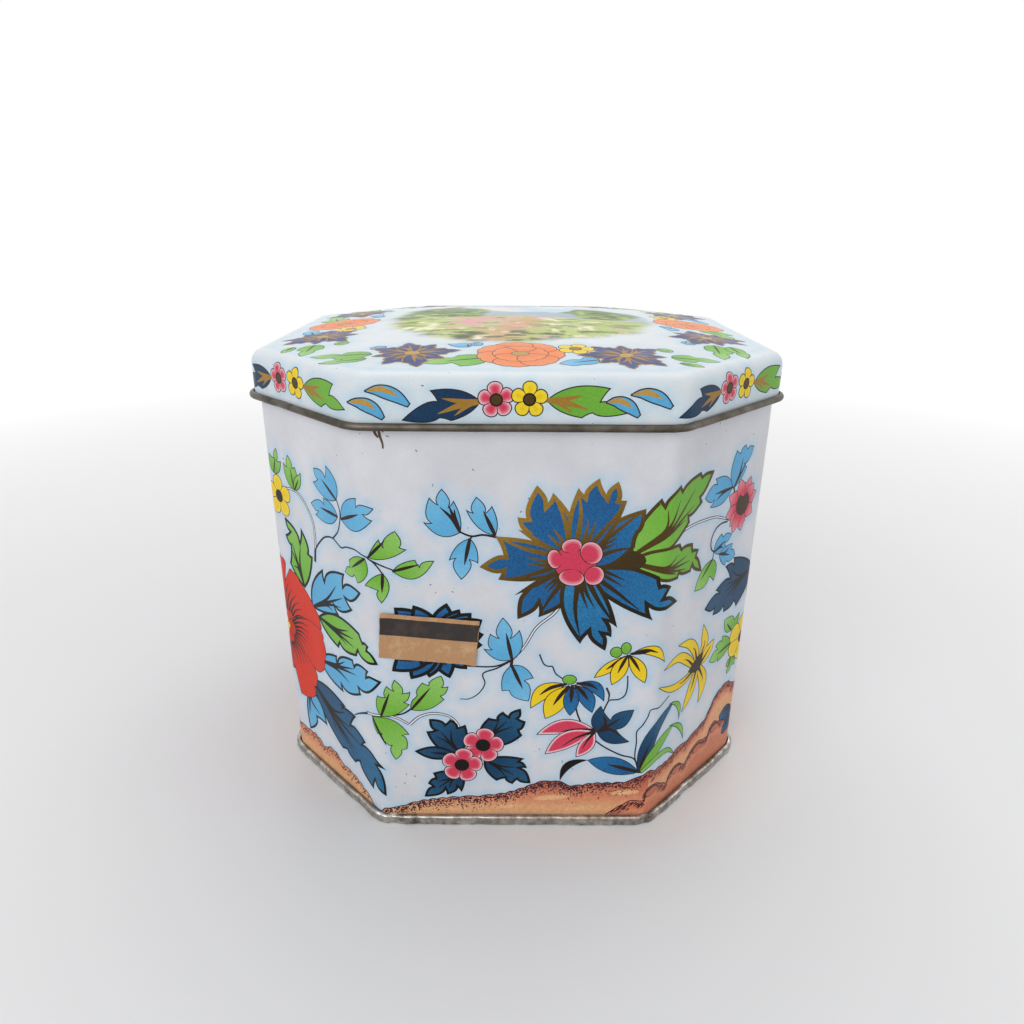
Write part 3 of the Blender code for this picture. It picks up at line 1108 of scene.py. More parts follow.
def wall_stems() -> Motif:
    """The stems and tendrils of one half turn of the wall.

    Returns:
        The art, in the wall's own millimetres.
    """
    art = Motif()
    for knots in ([(10.4, 62.4), (8.4, 59), (4.6, 55.4), (2, 50.6), (-0.8, 47)],
                  [(-36.4, 30.4), (-31.5, 31.5), (-28, 31), (-24.8, 29)],
                  [(-24.8, 29), (-22.3, 31.3), (-19, 32.2), (-15.5, 31.4), (-13.5, 29.2), (-12.8, 26.6)],
                  [(-54, 64), (-53, 70.3), (-53.5, 74.9), (-56.9, 79), (-60.2, 80.4), (-65.2, 79.9)],
                  [(31, 74.6), (36.3, 77), (42, 77.6), (50, 77), (53.5, 76), (58, 74.2)],
                  [(82, 52), (88, 47), (96, 45), (103, 47), (107, 52), (109, 58)]):
        art.join(double_stem(knots))
    for knots, start, end in (
            ([(-42, 26.8), (-39.5, 28.5), (-36, 30.4)], 0.25, 0.6),
            ([(-3.6, 77), (-7, 77.7), (-9.6, 77.4), (-12.3, 78.5)], 0.5, 0.4),
            ([(-9.4, 77.4), (-10.1, 76.4)], 0.4, 0.4),
            ([(-0.8, 46.9), (-4.6, 45.3), (-9.3, 45.2), (-14, 45.6)], 0.42, 0.3),
            ([(-0.8, 46.9), (-4.2, 44.8), (-7.4, 43.3), (-7, 40.6), (-8.4, 38), (-10.6, 36.4), (-12.8, 36.3)],
             0.42, 0.2),
            ([(-31.4, 31.4), (-26.6, 32), (-23.8, 33.8)], 0.3, 0.5),
            ([(-0.8, 47.2), (-1, 45.2)], 0.7, 0.7),
            ([(-54, 64), (-53.2, 67.5), (-50.1, 70.9), (-47.9, 72.3), (-45.1, 72.8), (-41.9, 71.6), (-39.7, 72.4),
              (-36, 72.9), (-32.2, 72.2)],
             0.5, 0.3),
            ([(-45.1, 72.8), (-42.6, 75.3), (-41.2, 78.8), (-41.2, 81), (-42.2, 83.2)], 0.4, 0.3),
            ([(-32.4, 72.2), (-30.6, 70.9), (-28.9, 68.4)], 0.36, 0.3),
            ([(-31.4, 71.6), (-28.9, 70.3), (-26.4, 69.2)], 0.36, 0.3),
            ([(56.6, 74.2), (54, 74.4), (51.6, 73.6), (50.2, 71.4), (50.6, 69), (52.2, 67.7), (55, 66.2)], 0.4, 0.4),
            ([(52, 67.8), (51.7, 65.8)], 0.3, 0.4), ([(58.4, 79.6), (57.8, 82), (56.8, 82.7)], 0.5, 0.5),
            ([(5.4, 48.5), (6.4, 46), (7.6, 45.3), (8.4, 45.3), (9.2, 43.4), (10.9, 42)], 0.34, 0.3),
            ([(25.7, 42.8), (25.8, 40), (25.4, 37.6), (24, 36.4), (22, 36.2), (21.4, 35.4), (20.4, 32.6)], 0.3, 0.36),
            ([(21, 39.6), (21.7, 37.8), (21.6, 36.2)], 0.5, 0.3),
            ([(13.9, 35.2), (14.8, 31.6), (16.9, 27.2), (20.6, 23.4), (25.2, 20.6), (28.6, 19.4), (29.8, 16)],
             0.4, 0.4),
            ([(38.6, 34.4), (35, 33.1), (32, 33.3), (31.2, 31.4), (30, 29), (28.8, 27.2), (28.9, 24), (28.8, 20),
              (29.9, 16)],
             0.3, 0.3),
            ([(84, 66), (80, 73), (82, 80), (88, 84)], 0.5, 0.35),
            ([(118, 60), (124, 66), (125, 75), (121, 82)], 0.5, 0.35),
            ([(96, 45), (92, 40), (93, 34), (97, 30)], 0.45, 0.35),
            ([(113, 33), (118, 38), (119, 45)], 0.4, 0.2)):
        art.join(thin_stem(knots, start, end))
    return art


def front_blooms() -> Motif:
    """The great blue flower, the sprigs beside it and the dark flower on the front.

    Returns:
        The art, in the wall's own millimetres.
    """
    art = draw_leaves(
        (((-11.9, 78.2, 0.1, 0.25), (-13.2, 85.5), (-14.2, 84), (-15.6, 88.1), (-16.6, 84.6), (-18.2, 86.2),
          (-18.1, 80.4), (-19.7, 80.6)),),
        LeafStyle(Ink.SKY, veins=3, vein=1.1, belly=0.17, tints=(0.4, 0.7)))
    art.join(draw_leaves(
        (((-4.5, 77.5, 0.12, 0.14), (-5.2, 84.3), (-6.6, 82.7), (-8.4, 86.3), (-9.3, 82.8), (-10.7, 83.5)),
         ((-9.9, 76.9, 0.14, 0.12), (-14.5, 71.7), (-13.2, 72.1), (-11.9, 67.1), (-9.9, 71.8), (-8.2, 71)),
         ((-0.8, 47, 0.2, 0.2), (0.8, 54.8), (-1.1, 52.7), (-2.9, 57.9), (-3.9, 52.7), (-5.7, 53.8), (-5.5, 49.7),
          (-7.3, 49.9)),
         ((-0.9, 45.6, 0.15, 0.2), (-3.1, 38.6), (-1.4, 38.7), (3.1, 35.8), (2.2, 41.4), (4.2, 42.1))),
        LeafStyle(Ink.SKY, veins=1, vein=1.2, belly=0.17, tints=(0.4, 0.7))))
    art.join(spiky_flower().placed(-17.6, 51.2))
    art.join(draw_leaves(
        (((24.2, 72.6), (40, 78.7), (39.6, 80), (44.6, 82.2), (43.8, 83.5), (48.3, 88.7), (43.6, 88.6), (42.8, 89.6),
          (36, 87.3), (35.2, 88.5), (30.9, 85), (30.2, 86.2)),
         ((24, 71.6), (37.3, 65.9), (37.6, 66.9), (42.4, 65.9), (42.8, 66.9), (47.3, 64.3), (44.4, 69.2),
          (45.1, 70.6), (42.6, 71.4), (42.2, 73.1), (37.8, 73.3), (37, 74.6))),
        LeafStyle(Ink.GREEN, Ink.BRONZE, 0.8, 5, 1.15, 0.08, (0.6, 0.35), True)))
    art.fill(blob(23.4, 71.8, 9, 5.2), Ink.BRONZE, even(0.3))
    return art.join(great_flower().placed(12.85, 71.4))


def green_sprays() -> Motif:
    """The sprays of lobed green leaves on the left of the front and round its corner.

    Returns:
        The art, in the wall's own millimetres.
    """
    art = draw_leaves(
        (((-32, 72.2, 0.14, 0.05), (-23.4, 74.2), (-24.9, 74.7), (-25.8, 78.5), (-28.5, 74.8), (-29.3, 76.6)),
         ((-32.8, 71.8, 0.12, 0.25), (-39, 69.5), (-38.8, 67.9), (-41, 65.9), (-37.2, 66.4), (-36.1, 64.8)),
         ((-28.9, 68.5, 0.1, 0.22), (-33.4, 65.2), (-30.2, 64.3), (-29.5, 61.2)),
         ((-26.8, 69, 0.32, 0.12), (-17.6, 71.6), (-20.9, 70.2), (-21.7, 71.8))),
        LeafStyle(Ink.GREEN, veins=1, vein=1, belly=0.18, tints=(0.45, 0.75)))
    return art.join(draw_leaves(
        (((-31.5, 31.3, 0.15, 0.15), (-24.5, 34.7), (-25.7, 35.3), (-24.3, 38.2), (-26, 37.8), (-27.8, 41.5),
          (-28.2, 38.5), (-29.7, 39.8), (-30.2, 36.7), (-32.1, 37)),
         ((-24.3, 33.2, 0.16, 0.1), (-16.4, 36.1), (-17.2, 37), (-15.4, 39.7), (-16.8, 39.5), (-17, 42.6), (-20, 40),
          (-21.4, 40.7), (-22.8, 37.2), (-23.9, 36)),
         ((-34.2, 30.5, 0.1, 0.22), (-32.8, 25.9), (-31.7, 26.3), (-29.8, 22.8), (-29.4, 22.9), (-28.6, 18.7),
          (-27, 21.5), (-25.7, 21.9), (-26.5, 25.9), (-25, 26.1))),
        LeafStyle(Ink.GREEN, veins=1, vein=1, belly=0.15, tints=(0.45, 0.75))))


def twin_blossoms() -> Motif:
    """Two pink blossoms among dark toothed leaves.

    Returns:
        The art, in the wall's own millimetres.
    """
    art = draw_leaves(
        (((-13.2, 20.8, 0.16, 0.22), (-11.7, 29.1), (-13.4, 28.4), (-15.3, 30.6), (-16.4, 29.3), (-20.2, 30.6),
          (-19.2, 27.4), (-21, 27.1)),
         ((-7.6, 24, 0.2, 0.2), (1.8, 26.2), (1.1, 27.6), (2.5, 30.2), (0.9, 31), (1.3, 33.8), (-1.6, 31.8),
          (-2.8, 33), (-4.4, 30.8), (-6.2, 31.2)),
         ((-12.6, 15.2, 0.1, 0.12), (-19.9, 14.8), (-19.4, 13.4), (-21.2, 11.6), (-20.2, 10.8), (-22.1, 7.6),
          (-16.9, 9.6), (-16.6, 8.2), (-13.8, 10.3), (-13, 9)),
         ((-7.4, 19, 0.15, 0.1), (-4.4, 12.6), (-2.4, 13.4), (-0.5, 11.7), (0.6, 13), (3.9, 12), (1.6, 16.6),
          (3, 16.5), (1.4, 18.6), (2.4, 19.4))),
        LeafStyle(Ink.NAVY, Ink.BORDER, 0.62, 3, 0.7, 0.14, (0.4, 0.75)))
    art.join(arched((-13.6, 20.2), (-24, 21.3), 0.19, 0.19, Ink.NAVY, 0.7, (0.4, 0.7), Ink.BORDER, 0.6))
    for x, y in ((-7.6, 23.2), (-12.75, 17.25)):
        art.join(blossom(5.1, Ink.PINK, pale=True, disc_ink=Ink.BORDER).placed(x, y, 8))
    return art


def meadow() -> Motif:
    """The hanging flowers, the lily, the pink bud and the blades on the right of the front.

    Returns:
        The art, in the wall's own millimetres.
    """
    art = draw_petals(
        (((11.8, 40.6), (3.5, 33.8), 0.34, 0.02, Ink.YELLOW), ((12.4, 40.2), (7, 30.9), 0.27, 0.2, Ink.YELLOW),
         ((14, 40.8), (20.6, 35.8), -0.04, 0.4, Ink.BLUE), ((13.6, 40.4), (18, 32.6), 0.12, 0.3, Ink.BLUE),
         ((13.1, 40.4), (12.8, 31.8), 0.22, 0.22, Ink.BLUE)),
        1)
    art.join(draw_petals(
        (((24.8, 48), (17.9, 42.3), 0.14, 0.15, Ink.YELLOW), ((25.4, 48.4), (22.1, 40.3), 0.22, 0.2, Ink.YELLOW),
         ((26, 48.6), (35.2, 45.2), -0.12, 0.4, Ink.YELLOW), ((25.6, 48.4), (29.8, 40.8), 0.16, 0.24, Ink.YELLOW),
         ((25.9, 48.6), (30.6, 49.3), 0.1, 0.1, Ink.BORDER)),
        0.8))
    for knots, widest in (
            ([(50.6, 38.6), (52.6, 42.6), (52, 45.6), (51.1, 48.7)], 2.5),
            ([(51.6, 37.6), (55, 40.2), (57, 42.2)], 3.2),
            ([(49.6, 39.2), (48.4, 42.6), (45.4, 45.8), (40.6, 47.3)], 2.3),
            ([(49, 37.6), (45.6, 41), (41.2, 43.7), (35.4, 42.9)], 2.2),
            ([(49, 37.2), (44.6, 35.8), (39.4, 36), (33.9, 38.7)], 1.7),
            ([(50.6, 37.2), (53.2, 33), (53.6, 29.4), (52.4, 25.6)], 3),
            ([(50, 37.2), (48.6, 32.4), (46.8, 29), (44.9, 26.6)], 2.8)):
        art.edged(brush(smooth_line(knots), 1.8, 0.3, widest - 0.4), Ink.YELLOW, Ink.KEYLINE, THIN,
                  Tint((49, 37), knots[-1], 0.3, 0.7))
        root, bend, reach = (np.array(knot, float) for knot in knots[:3])
        art.stroke([root, bend, 0.6 * bend + 0.4 * reach], 1, FINE, Ink.KEYLINE)
    art.fill(outline([(46, 37.6, 0.05), (49.2, 36, 0.1), (51.6, 36.6, 0.02), (52.4, 40.4, 0.1), (49.6, 40.2, 0.05)]),
             Ink.OLIVE, even(0.1))
    for x, y, wide, high in ((12.4, 41.8, 3.4, 2.7), (22.7, 49.1, 2.9, 2.9), (24.9, 50.1, 2.5, 3.2)):
        art.edged(blob(x, y, wide, high), Ink.GREEN, Ink.KEYLINE, THIN, Tint((x, y - 1.4), (x, y + 1.4), 0.4, 0.6))
    for root, tip, right, left in (((19, 27.8), (5, 26.4), 0.27, 0.03), ((18.9, 27.5), (7.1, 20.7), 0.25, 0.1),
                                   ((18.9, 27.4), (14.6, 19.8), 0.17, 0.25)):
        petal = outline([(*root, right), (*tip, left)])
        art.fill(petal, Ink.KEYLINE)
        for inward, tint in ((0.2, 0.95), (0.42, 0.76), (0.66, 0.5)):
            art.fill(offset(petal, inward), Ink.PINK, even(tint))
        art.stroke([root, 0.62 * np.array(root) + 0.38 * np.array(tip) + np.array([0.2 * right, 2.4 * right]),
                    0.36 * np.array(root) + 0.64 * np.array(tip)], 0.9, FINE, Ink.KEYLINE)
    art.join(draw_leaves((((19.4, 27), (27.3, 24.4), (23.9, 27.9), (27.8, 33.5), (22.4, 30.7), (20, 34.7)),),
                         LeafStyle(Ink.NAVY, veins=3, vein=1, belly=0.17, tints=(0.45, 0.7))))
    blade = smooth_line([(30, 15.2), (31.4, 21.6), (34.4, 27.2), (40.6, 31.7)])
    art.edged(brush(blade, 0.9, 0.6, 3.4), Ink.NAVY, Ink.KEYLINE, THIN, Tint((30, 15), (40, 32), 0.4, 0.8))
    art.stroke([(30.4, 16.6), (31.4, 21), (33.2, 25.2)], 1.1, FINE, Ink.KEYLINE)
    art.edged(brush(smooth_line([(30.4, 15.6), (33.6, 19.8), (37.4, 22.4), (41.4, 24.6)]), 0.9, 0.5, 3),
              Ink.GREEN, Ink.KEYLINE, THIN, Tint((30, 15), (41, 24), 0.4, 0.6))
    art.edged(
        brush(smooth_line([(30.4, 15.4), (33.6, 17.8), (37.6, 18.2), (40.4, 17.6), (43, 15.2)]), 0.9, 0.3, 1.3),
        Ink.GREEN, Ink.KEYLINE, THIN, even(0.6))
    art.join(arched((38.6, 31.9), (43.7, 24.7), -0.16, 0.34, Ink.GREEN, 0),
             arched((39.8, 25), (46.6, 17.5), -0.1, 0.26, Ink.GREEN, 0))
    art.join(arched((30.2, 15.4), (17.4, 19), 0.2, 0.18, Ink.BLUE, 1.1, (0.4, 0.7)))
    return art.join(arched((17.7, 19), (11, 12.7), 0.34, -0.12, Ink.BORDER, 0, (0.4, 0.4)))


def left_bouquet() -> Motif:
    """The red peony and its leaves on the left cut-off face and round its corner.

    Returns:
        The art, in the wall's own millimetres.
    """
    art = draw_leaves(
        (((-61.6, 27.6, 0.1, 0.12), (-49, 12.7), (-46.8, 13.4), (-43.5, 11.4), (-41.5, 12.8), (-36, 7.6),
          (-35.2, 10.6), (-31.5, 7.6), (-33.8, 15.9), (-31.1, 15.5), (-39.3, 19.3), (-38, 20.5), (-43.9, 22.8),
          (-41.4, 26.4), (-48.7, 25.5), (-45.6, 27)),),
        LeafStyle(Ink.NAVY, Ink.BORDER, 0.65, 7, 1.3, 0.12, (0.55, 0.95)))
    art.join(
        draw_leaves(
            (((-63.5, 24, 0.1, 0.22), (-65.4, 9.8), (-60.8, 15.9), (-55.9, 15.9)),
             ((-57.5, 50.6, 0.06, 0.16), (-45.3, 53), (-46.9, 54.7), (-39.1, 56.8), (-41.6, 58.7), (-35.1, 62.7),
              (-42.4, 61.9), (-41.4, 65.2), (-50.7, 60.4), (-50.8, 63.2)),
             ((-56.4, 36, 0.12, 0.12), (-46.1, 31.2), (-46.5, 32.7), (-38.3, 34.3), (-38.9, 35.7), (-30.7, 40.9),
              (-35.3, 41), (-34.4, 42.7), (-40.4, 41.7), (-40.8, 43), (-48, 39.2), (-47.8, 40.9)),
             ((-84, 54), (-87, 64), (-88.6, 62), (-95, 67), (-93.6, 61), (-97, 58))),
            LeafStyle(Ink.SKY, Ink.BORDER, 0.62, 4, 1.1, 0.15, (0.35, 0.6))),
        draw_leaves(
            (((-60.2, 54.8, 0.08, 0.1), (-54.9, 64.9), (-56.6, 65.2), (-59.2, 71.2), (-60.2, 67.4), (-66.4, 72),
              (-64.8, 68.6), (-67, 67.2), (-65, 64.8), (-66.4, 59.6)),
             ((-54.9, 49, 0.12, 0.14), (-46.6, 43.5), (-46, 44.9), (-38.8, 44.8), (-38.2, 46.2), (-31.3, 45.4),
              (-34.2, 48.4), (-33.6, 49.6), (-36, 49.9), (-37, 51.7)),
             ((-88, 44), (-97, 50.6), (-97.6, 48.6), (-106, 46), (-98.6, 42.6), (-99, 40))),
            LeafStyle(Ink.GREEN, Ink.BORDER, 0.68, 4, 1.1, 0.15, (0.45, 0.65))),
        draw_leaves(
            (((-84, 32), (-93, 30.6), (-93.4, 28.4), (-101, 24), (-96, 22.6), (-98, 18), (-92, 21), (-90, 18.4)),
             ((-78, 56), (-73, 66), (-74.6, 67), (-76, 75.6), (-79.4, 70), (-82, 71), (-81.8, 64), (-84, 62.6))),
            LeafStyle(Ink.NAVY, Ink.BORDER, 0.5, 4, 0.9, 0.14, (0.4, 0.7))))
    art.join(peony().placed(-73, 40))
    art.join(
        draw_leaves(
            (((-42.1, 82.8, 0.28, 0.18), (-45.4, 90), (-46, 87.2), (-50.7, 88.2), (-49.4, 85.8), (-51.5, 84.7)),
             ((-42.1, 78.9, 0.18, 0.2), (-47.9, 81.8), (-47.6, 80.4), (-53.3, 79.2), (-50.4, 77.9), (-51.8, 76.7)),
             ((-40.9, 78.7, 0.22, 0.2), (-30.3, 80.8), (-32.4, 82), (-29.9, 83.5), (-34.4, 83.4), (-34.2, 85.4))),
            LeafStyle(Ink.SKY, veins=1, vein=1.1, belly=0.17, tints=(0.4, 0.65))),
        draw_leaves(
            (((-60.1, 80.4), (-58.9, 86.5), (-60.1, 86), (-61.7, 88.8), (-62.6, 85.8), (-64, 86.5)),
             ((-60.1, 80.4), (-56.6, 85.4), (-57, 85.5), (-57.4, 85)),
             ((-69.2, 82.6), (-65.1, 86.4), (-67, 86.2), (-66.8, 89.4), (-68.4, 86.6), (-70.6, 87.4))),
            LeafStyle(Ink.GREEN, veins=1, vein=0.7, belly=0.16)))
    yellow = blossom(5.5, Ink.YELLOW, 5, disc=0.3, disc_ink=Ink.BORDER, notch=0.4, border=0.18)
    return art.join(yellow.placed(-67.8, 77.1, 20))


def right_bouquet() -> Motif:
    """The pink daisy, the dark leaf and the yellow flower on the right cut-off face and round its corner.

    Returns:
        The art, in the wall's own millimetres.
    """
    art = draw_leaves(
        (((57.5, 82.2, 0.1, 0.2), (62.6, 86.3), (61.4, 87.3), (64.9, 90.9), (62, 90.8), (61, 92.1), (58.9, 90.4),
          (57.2, 91.5)),
         ((57, 82.6, 0.2, 0.2), (49.2, 86.4), (50, 85), (45.5, 82.7), (49.5, 81.3), (48, 79.9)),
         ((52, 67.7, 0.2, 0.2), (57.5, 67.3), (56.7, 68.7), (59.4, 70.2), (55.6, 70.6), (54.7, 71.7)),
         ((54.6, 66.4, 0.12, 0.12), (57.8, 62.3), (58.6, 63.2), (62.2, 63.8), (60, 66), (60.4, 67.5))),
        LeafStyle(Ink.SKY, veins=2, vein=0.9, belly=0.18, tints=(0.3, 0.5)))
    art.join(
        draw_leaves((((51.8, 66, 0.2, 0.25), (45, 59.9), (51.2, 61.6), (53.2, 59.7)),),
                    LeafStyle(Ink.GREEN, veins=1, vein=0.9, belly=0.22)),
        pointed_daisy().placed(62.6, 77))
    art.join(
        draw_leaves(
            (((73, 57, 0.1, 0.1), (61.7, 63.3), (62.3, 61.4), (58.1, 61.9), (61.2, 57.8), (54.9, 56.5), (56.6, 55.4),
              (50.6, 53), (55.2, 51.4), (54.8, 49.8), (59.6, 50.4), (60, 48.7), (64.8, 50), (66.2, 47.9)),
             ((73, 56), (73.6, 46.6), (76, 48), (80, 44.4), (80, 49), (83.6, 50)),
             ((74, 58), (84.6, 56), (83.6, 58.6), (88, 62.6), (82, 62.4), (80, 66.4))),
            LeafStyle(Ink.NAVY, Ink.BORDER, 0.5, 5, 0.9, 0.14, (0.45, 0.65))),
        draw_leaves(
            (((66, 37.4, 0.15, 0.15), (61.2, 41.3), (61.2, 39.9), (58.3, 39.4), (59.4, 38.1), (55.9, 36),
              (60.2, 35.2), (60, 34.1)),
             ((65.6, 41.2), (68.8, 45.4), (66.4, 44.2), (61.3, 45.9)),
             ((67, 32.4), (65.1, 30.4), (66.2, 29.8), (66, 27.7), (67.8, 29.4), (69.6, 29.2)),
             ((78, 38), (85, 33), (84.4, 36), (89.6, 39), (84.6, 39.8), (84, 43))),
            LeafStyle(Ink.GREEN, veins=1, vein=0.8, belly=0.2)))
    art.join(blossom(7, Ink.YELLOW, 6, disc=0.28, disc_ink=Ink.BORDER, notch=0.2).placed(71.8, 37.2, 30))
    return art.join(draw_leaves(
        (((70.9, 15.6), (64.9, 14.7), (66.6, 12.6), (69, 10.8)), ((71.4, 12), (67.3, 7.8), (69.4, 7.4), (73, 8))),
        LeafStyle(Ink.NAVY, Ink.BORDER, 0.3, 1, 0.6, 0.2)))


def side_bouquet() -> Motif:
    """The flowers in the middle of the long side faces.

    Returns:
        The art, in the wall's own millimetres.
    """
    art = draw_leaves(
        (((98, 67), (88, 72), (88.4, 70.2), (80.6, 68), (87, 65.4), (86.6, 63.6)),
         ((110, 61), (118, 53.6), (119, 55.4), (127.4, 56), (122, 59.4), (122.6, 62), (117.6, 62.6), (117, 65))),
        LeafStyle(Ink.GREEN, Ink.BRONZE, 0.7, 4, 1.3, 0.1, split=True))
    art.join(draw_leaves(
        (((97, 60), (88, 58.6), (89, 56.4), (84.6, 51.6), (91, 53.4), (92.6, 50)),
         ((111, 69), (120, 70.6), (118.6, 72.6), (122.6, 78), (116.4, 75.4), (114.6, 77.8))),
        LeafStyle(Ink.SKY, Ink.BORDER, 0.6, 3, 1, 0.15, (0.35, 0.6))))
    art.join(great_flower().placed(104, 64.6, 196, 0.72))
    art.join(draw_leaves(
        (((82.2, 79.6), (83.4, 86), (82, 85.2), (79, 90.6), (78.8, 86), (76.4, 86.4)),
         ((86, 83.6), (92, 86.4), (90.8, 88), (92.4, 92.4), (88.4, 89.6), (86.6, 90.8)),
         ((87, 83), (91, 79.4), (92, 81), (95.8, 81.6), (92.2, 83.2), (91.6, 85)),
         ((121.2, 81.6), (119.6, 88.6), (118, 87.2), (113.6, 89.8), (115.6, 86), (114.2, 84.4)),
         ((122, 81), (127.6, 84), (126, 85.4), (126.6, 91.4), (123.6, 87.4), (122, 88.8))),
        LeafStyle(Ink.SKY, veins=1, vein=1, belly=0.17, tints=(0.4, 0.65))))
    return art.join(twin_blossoms().placed(113, 0.5))


@dataclass(frozen=True)
class Rocks:
    """The rocks along the foot of the wall: a stippled ridge, hatched ridges round the corners, and pale hollows."""
    top: tuple = ((-104.6, 10.4), (-92, 12.4), (-80, 9.6), (-66, 9.3), (-63, 9.5), (-60, 8.7), (-58.6, 7.6),
                  (-55.4, 9.2), (-52.4, 9.1), (-50.6, 7.7), (-47, 7.1), (-43.5, 6.5), (-40, 5), (-38, 4.1),
                  (-36.2, 2.3), (-33.5, 2.3), (-32, 3.8), (-29, 4.3), (-23, 6.3), (-15, 7.5), (-8, 8),
                  (-2, 9), (3, 11), (5.5, 12.2), (8.5, 12.7), (11, 12.4), (14, 11.2), (19.5, 12),
                  (27, 12.5), (32.5, 15.2), (35, 14.5), (41, 14.5), (45, 16), (48, 15.7), (53.5, 17),
                  (57, 18), (60, 21.5), (62, 23.5), (67, 25), (69.5, 23.4), (76, 21.6), (86, 15.6),
                  (95, 11.2), (104.6, 10.4))
    near: tuple = ((22.5, 2.2), (24.6, 4), (28.4, 6.6), (31.8, 6.8), (32.6, 9.8), (35.4, 10.2), (38.6, 8.4),
                   (40.8, 7.4), (42.4, 9.8), (45.6, 10.4), (48.6, 8.6), (51.6, 11), (54.4, 12.2), (57.6, 11.4),
                   (59.6, 11.4), (60.4, 13.2), (62.4, 14.4), (66, 13), (73, 14.2), (80, 11), (88, 6.4), (97, 2.2))
    foot: float = 2.25
    stagger: float = 0.6
    seed: int = 41

    def mass(self, line: Points, tint: Tint) -> Motif:
        """Rock from a line down to the foot."""
        foot = [(line[0, 0], self.foot), (line[-1, 0], self.foot)]
        return Motif().fill(np.concatenate([foot, line[::-1]]), Ink.ROCK, tint)

    def ridge(self, knots: Sequence[Sequence[float]], depth: float, tint: Tint) -> tuple[Motif, Points]:
        """A rock mass under a line with small scallops, and that line.

        Args:
            knots: Knots of the line.
            depth: Depth of the scallops.
            tint: Tint of the rock.

        Returns:
            The rock, and its ridge line.
        """
        line = smooth_line(knots, 0.3)
        wave = np.abs(np.sin(line[:, 0] * math.pi / 3.1 + 1.3 * np.sin(line[:, 0] * 0.31)))
        high = np.clip((line[:, 1] - self.foot) / 3, 0, 1)
        line = line + np.column_stack([np.zeros(len(line)), depth * high * (wave - 0.6)])
        line[:, 1] = np.maximum(line[:, 1], self.foot + 0.04)
        return self.mass(line, tint).fill(brush(line, 0.3, 0.3), Ink.PLUM, even(0.6)), line

    def specks(self, line: Points, count: int, spread: float, rng: np.random.Generator) -> Motif:
        """Stipple below a line, thick near it and thinner further down.

        Args:
            line: The line that they lie below.
            count: How many are tried.
            spread: Spread of their distances below the line.
            rng: Source of the random draws.

        Returns:
            The stipple.
        """
        art = Motif()
        for _ in range(count):
            spot = line[rng.integers(1, len(line) - 1)]
            down = 0.3 + abs(rng.normal(0, spread))
            size = rng.uniform(0.24, 0.46) * (1.0 - 0.25 * min(down / spread / 2, 1))
            if spot[1] - down >= self.foot + 0.3:
                art.fill(blob(spot[0] + rng.uniform(-0.3, 0.3), spot[1] - down, size * rng.uniform(1, 1.7), size,
                              rng.uniform(0, 180), 6), Ink.PLUM, even(rng.uniform(0.3, 1)))
        return art

    def fading(self, line: Points, tints: Sequence[float]) -> Motif:
        """Bands of rock below a line, each a little lower than the last.

        Args:
            line: The line that they lie below.
            tints: Tint of each band, from the top one down.

        Returns:
            The bands.
        """
        made = Motif()
        for number, tint in enumerate(tints):
            low = np.maximum(line[:, 1] - self.stagger * (number + 1), self.foot + 0.04)
            made.join(self.mass(np.column_stack([line[:, 0], low]), even(tint)))
        return made

    def hatching(self, line: Points, lean: float, rng: np.random.Generator) -> Motif:
        """Short leaning strokes below a line, close together near it.

        Args:
            line: The line that they lie below.
            lean: How far each leans along the tin, as a share of its length.
            rng: Source of the random draws.

        Returns:
            The strokes.
        """
        art = Motif()
        for spot in line:
            down = abs(rng.normal(0, 0.9)) + 0.3
            long = rng.uniform(0.5, 1.3)
            if spot[1] - down - 0.75 * long >= self.foot + 0.2:
                start = np.array([spot[0] + rng.uniform(-0.3, 0.3), spot[1] - down])
                art.stroke(
                    [start, start + 0.5 * long * np.array([lean + 0.06, -0.7]),
                     start + long * np.array([lean, -0.7])],
                    rng.uniform(0.26, 0.44), 0.14, Ink.HATCH, tint=even(rng.uniform(0, 1)))
        return art

    def art(self) -> Motif:
        """The whole band.

        Returns:
            The art, in the wall's own millimetres.
        """
        rng = np.random.default_rng(self.seed)
        made, top = self.ridge(self.top, 0.35, Tint((0, 4), (0, 13), 0.78, 0.1))
        for x, y, wide, high in (
                (-14, 4, 9, 1.5), (-2, 4.6, 8, 1.6), (9, 7.6, 9, 1.7), (16, 4.2, 11, 1.8), (27, 9.2, 7, 1.6)):
            for size, tint in ((1, 0.76), (0.7, 0.82), (0.4, 0.88)):
                made.fill(blob(x, y, wide * size, high * size, 6), Ink.ROCK, even(tint))
        made.join(self.fading(top[top[:, 0] > 32.5], (0.2, 0.28, 0.37, 0.46, 0.55, 0.63, 0.7)))
        dotted = (top[:, 0] > -33) & (top[:, 0] < 31)
        made.join(self.specks(top[dotted], 1500, 1.5, rng), self.hatching(top[top[:, 0] > 31], -0.7, rng),
                  self.hatching(top[top[:, 0] > 31], -0.5, rng), self.hatching(top[top[:, 0] < -37], -0.6, rng))
        near, crest = self.ridge(self.near, 0.2, Tint((0, 2), (0, 12.5), 0.62, 0))
        made.join(near, self.fading(crest, (0.2, 0.29, 0.38, 0.46, 0.52, 0.48, 0.43, 0.38)),
                  self.hatching(crest, -0.8, rng), self.hatching(crest, -0.6, rng))
        for x, y, wide, high in ((34.4, 8.6, 5, 3), (45, 9, 4.4, 2.4), (54.6, 10.2, 4.6, 2.8), (63, 12.2, 4.4, 2.8)):
            made.fill(blob(x, y, wide, high), Ink.HATCH, even(0.6))
            made.fill(blob(x + 0.2, y - 0.3, wide - 0.7, high - 0.7), Ink.ROCK, even(0.22))
        return made


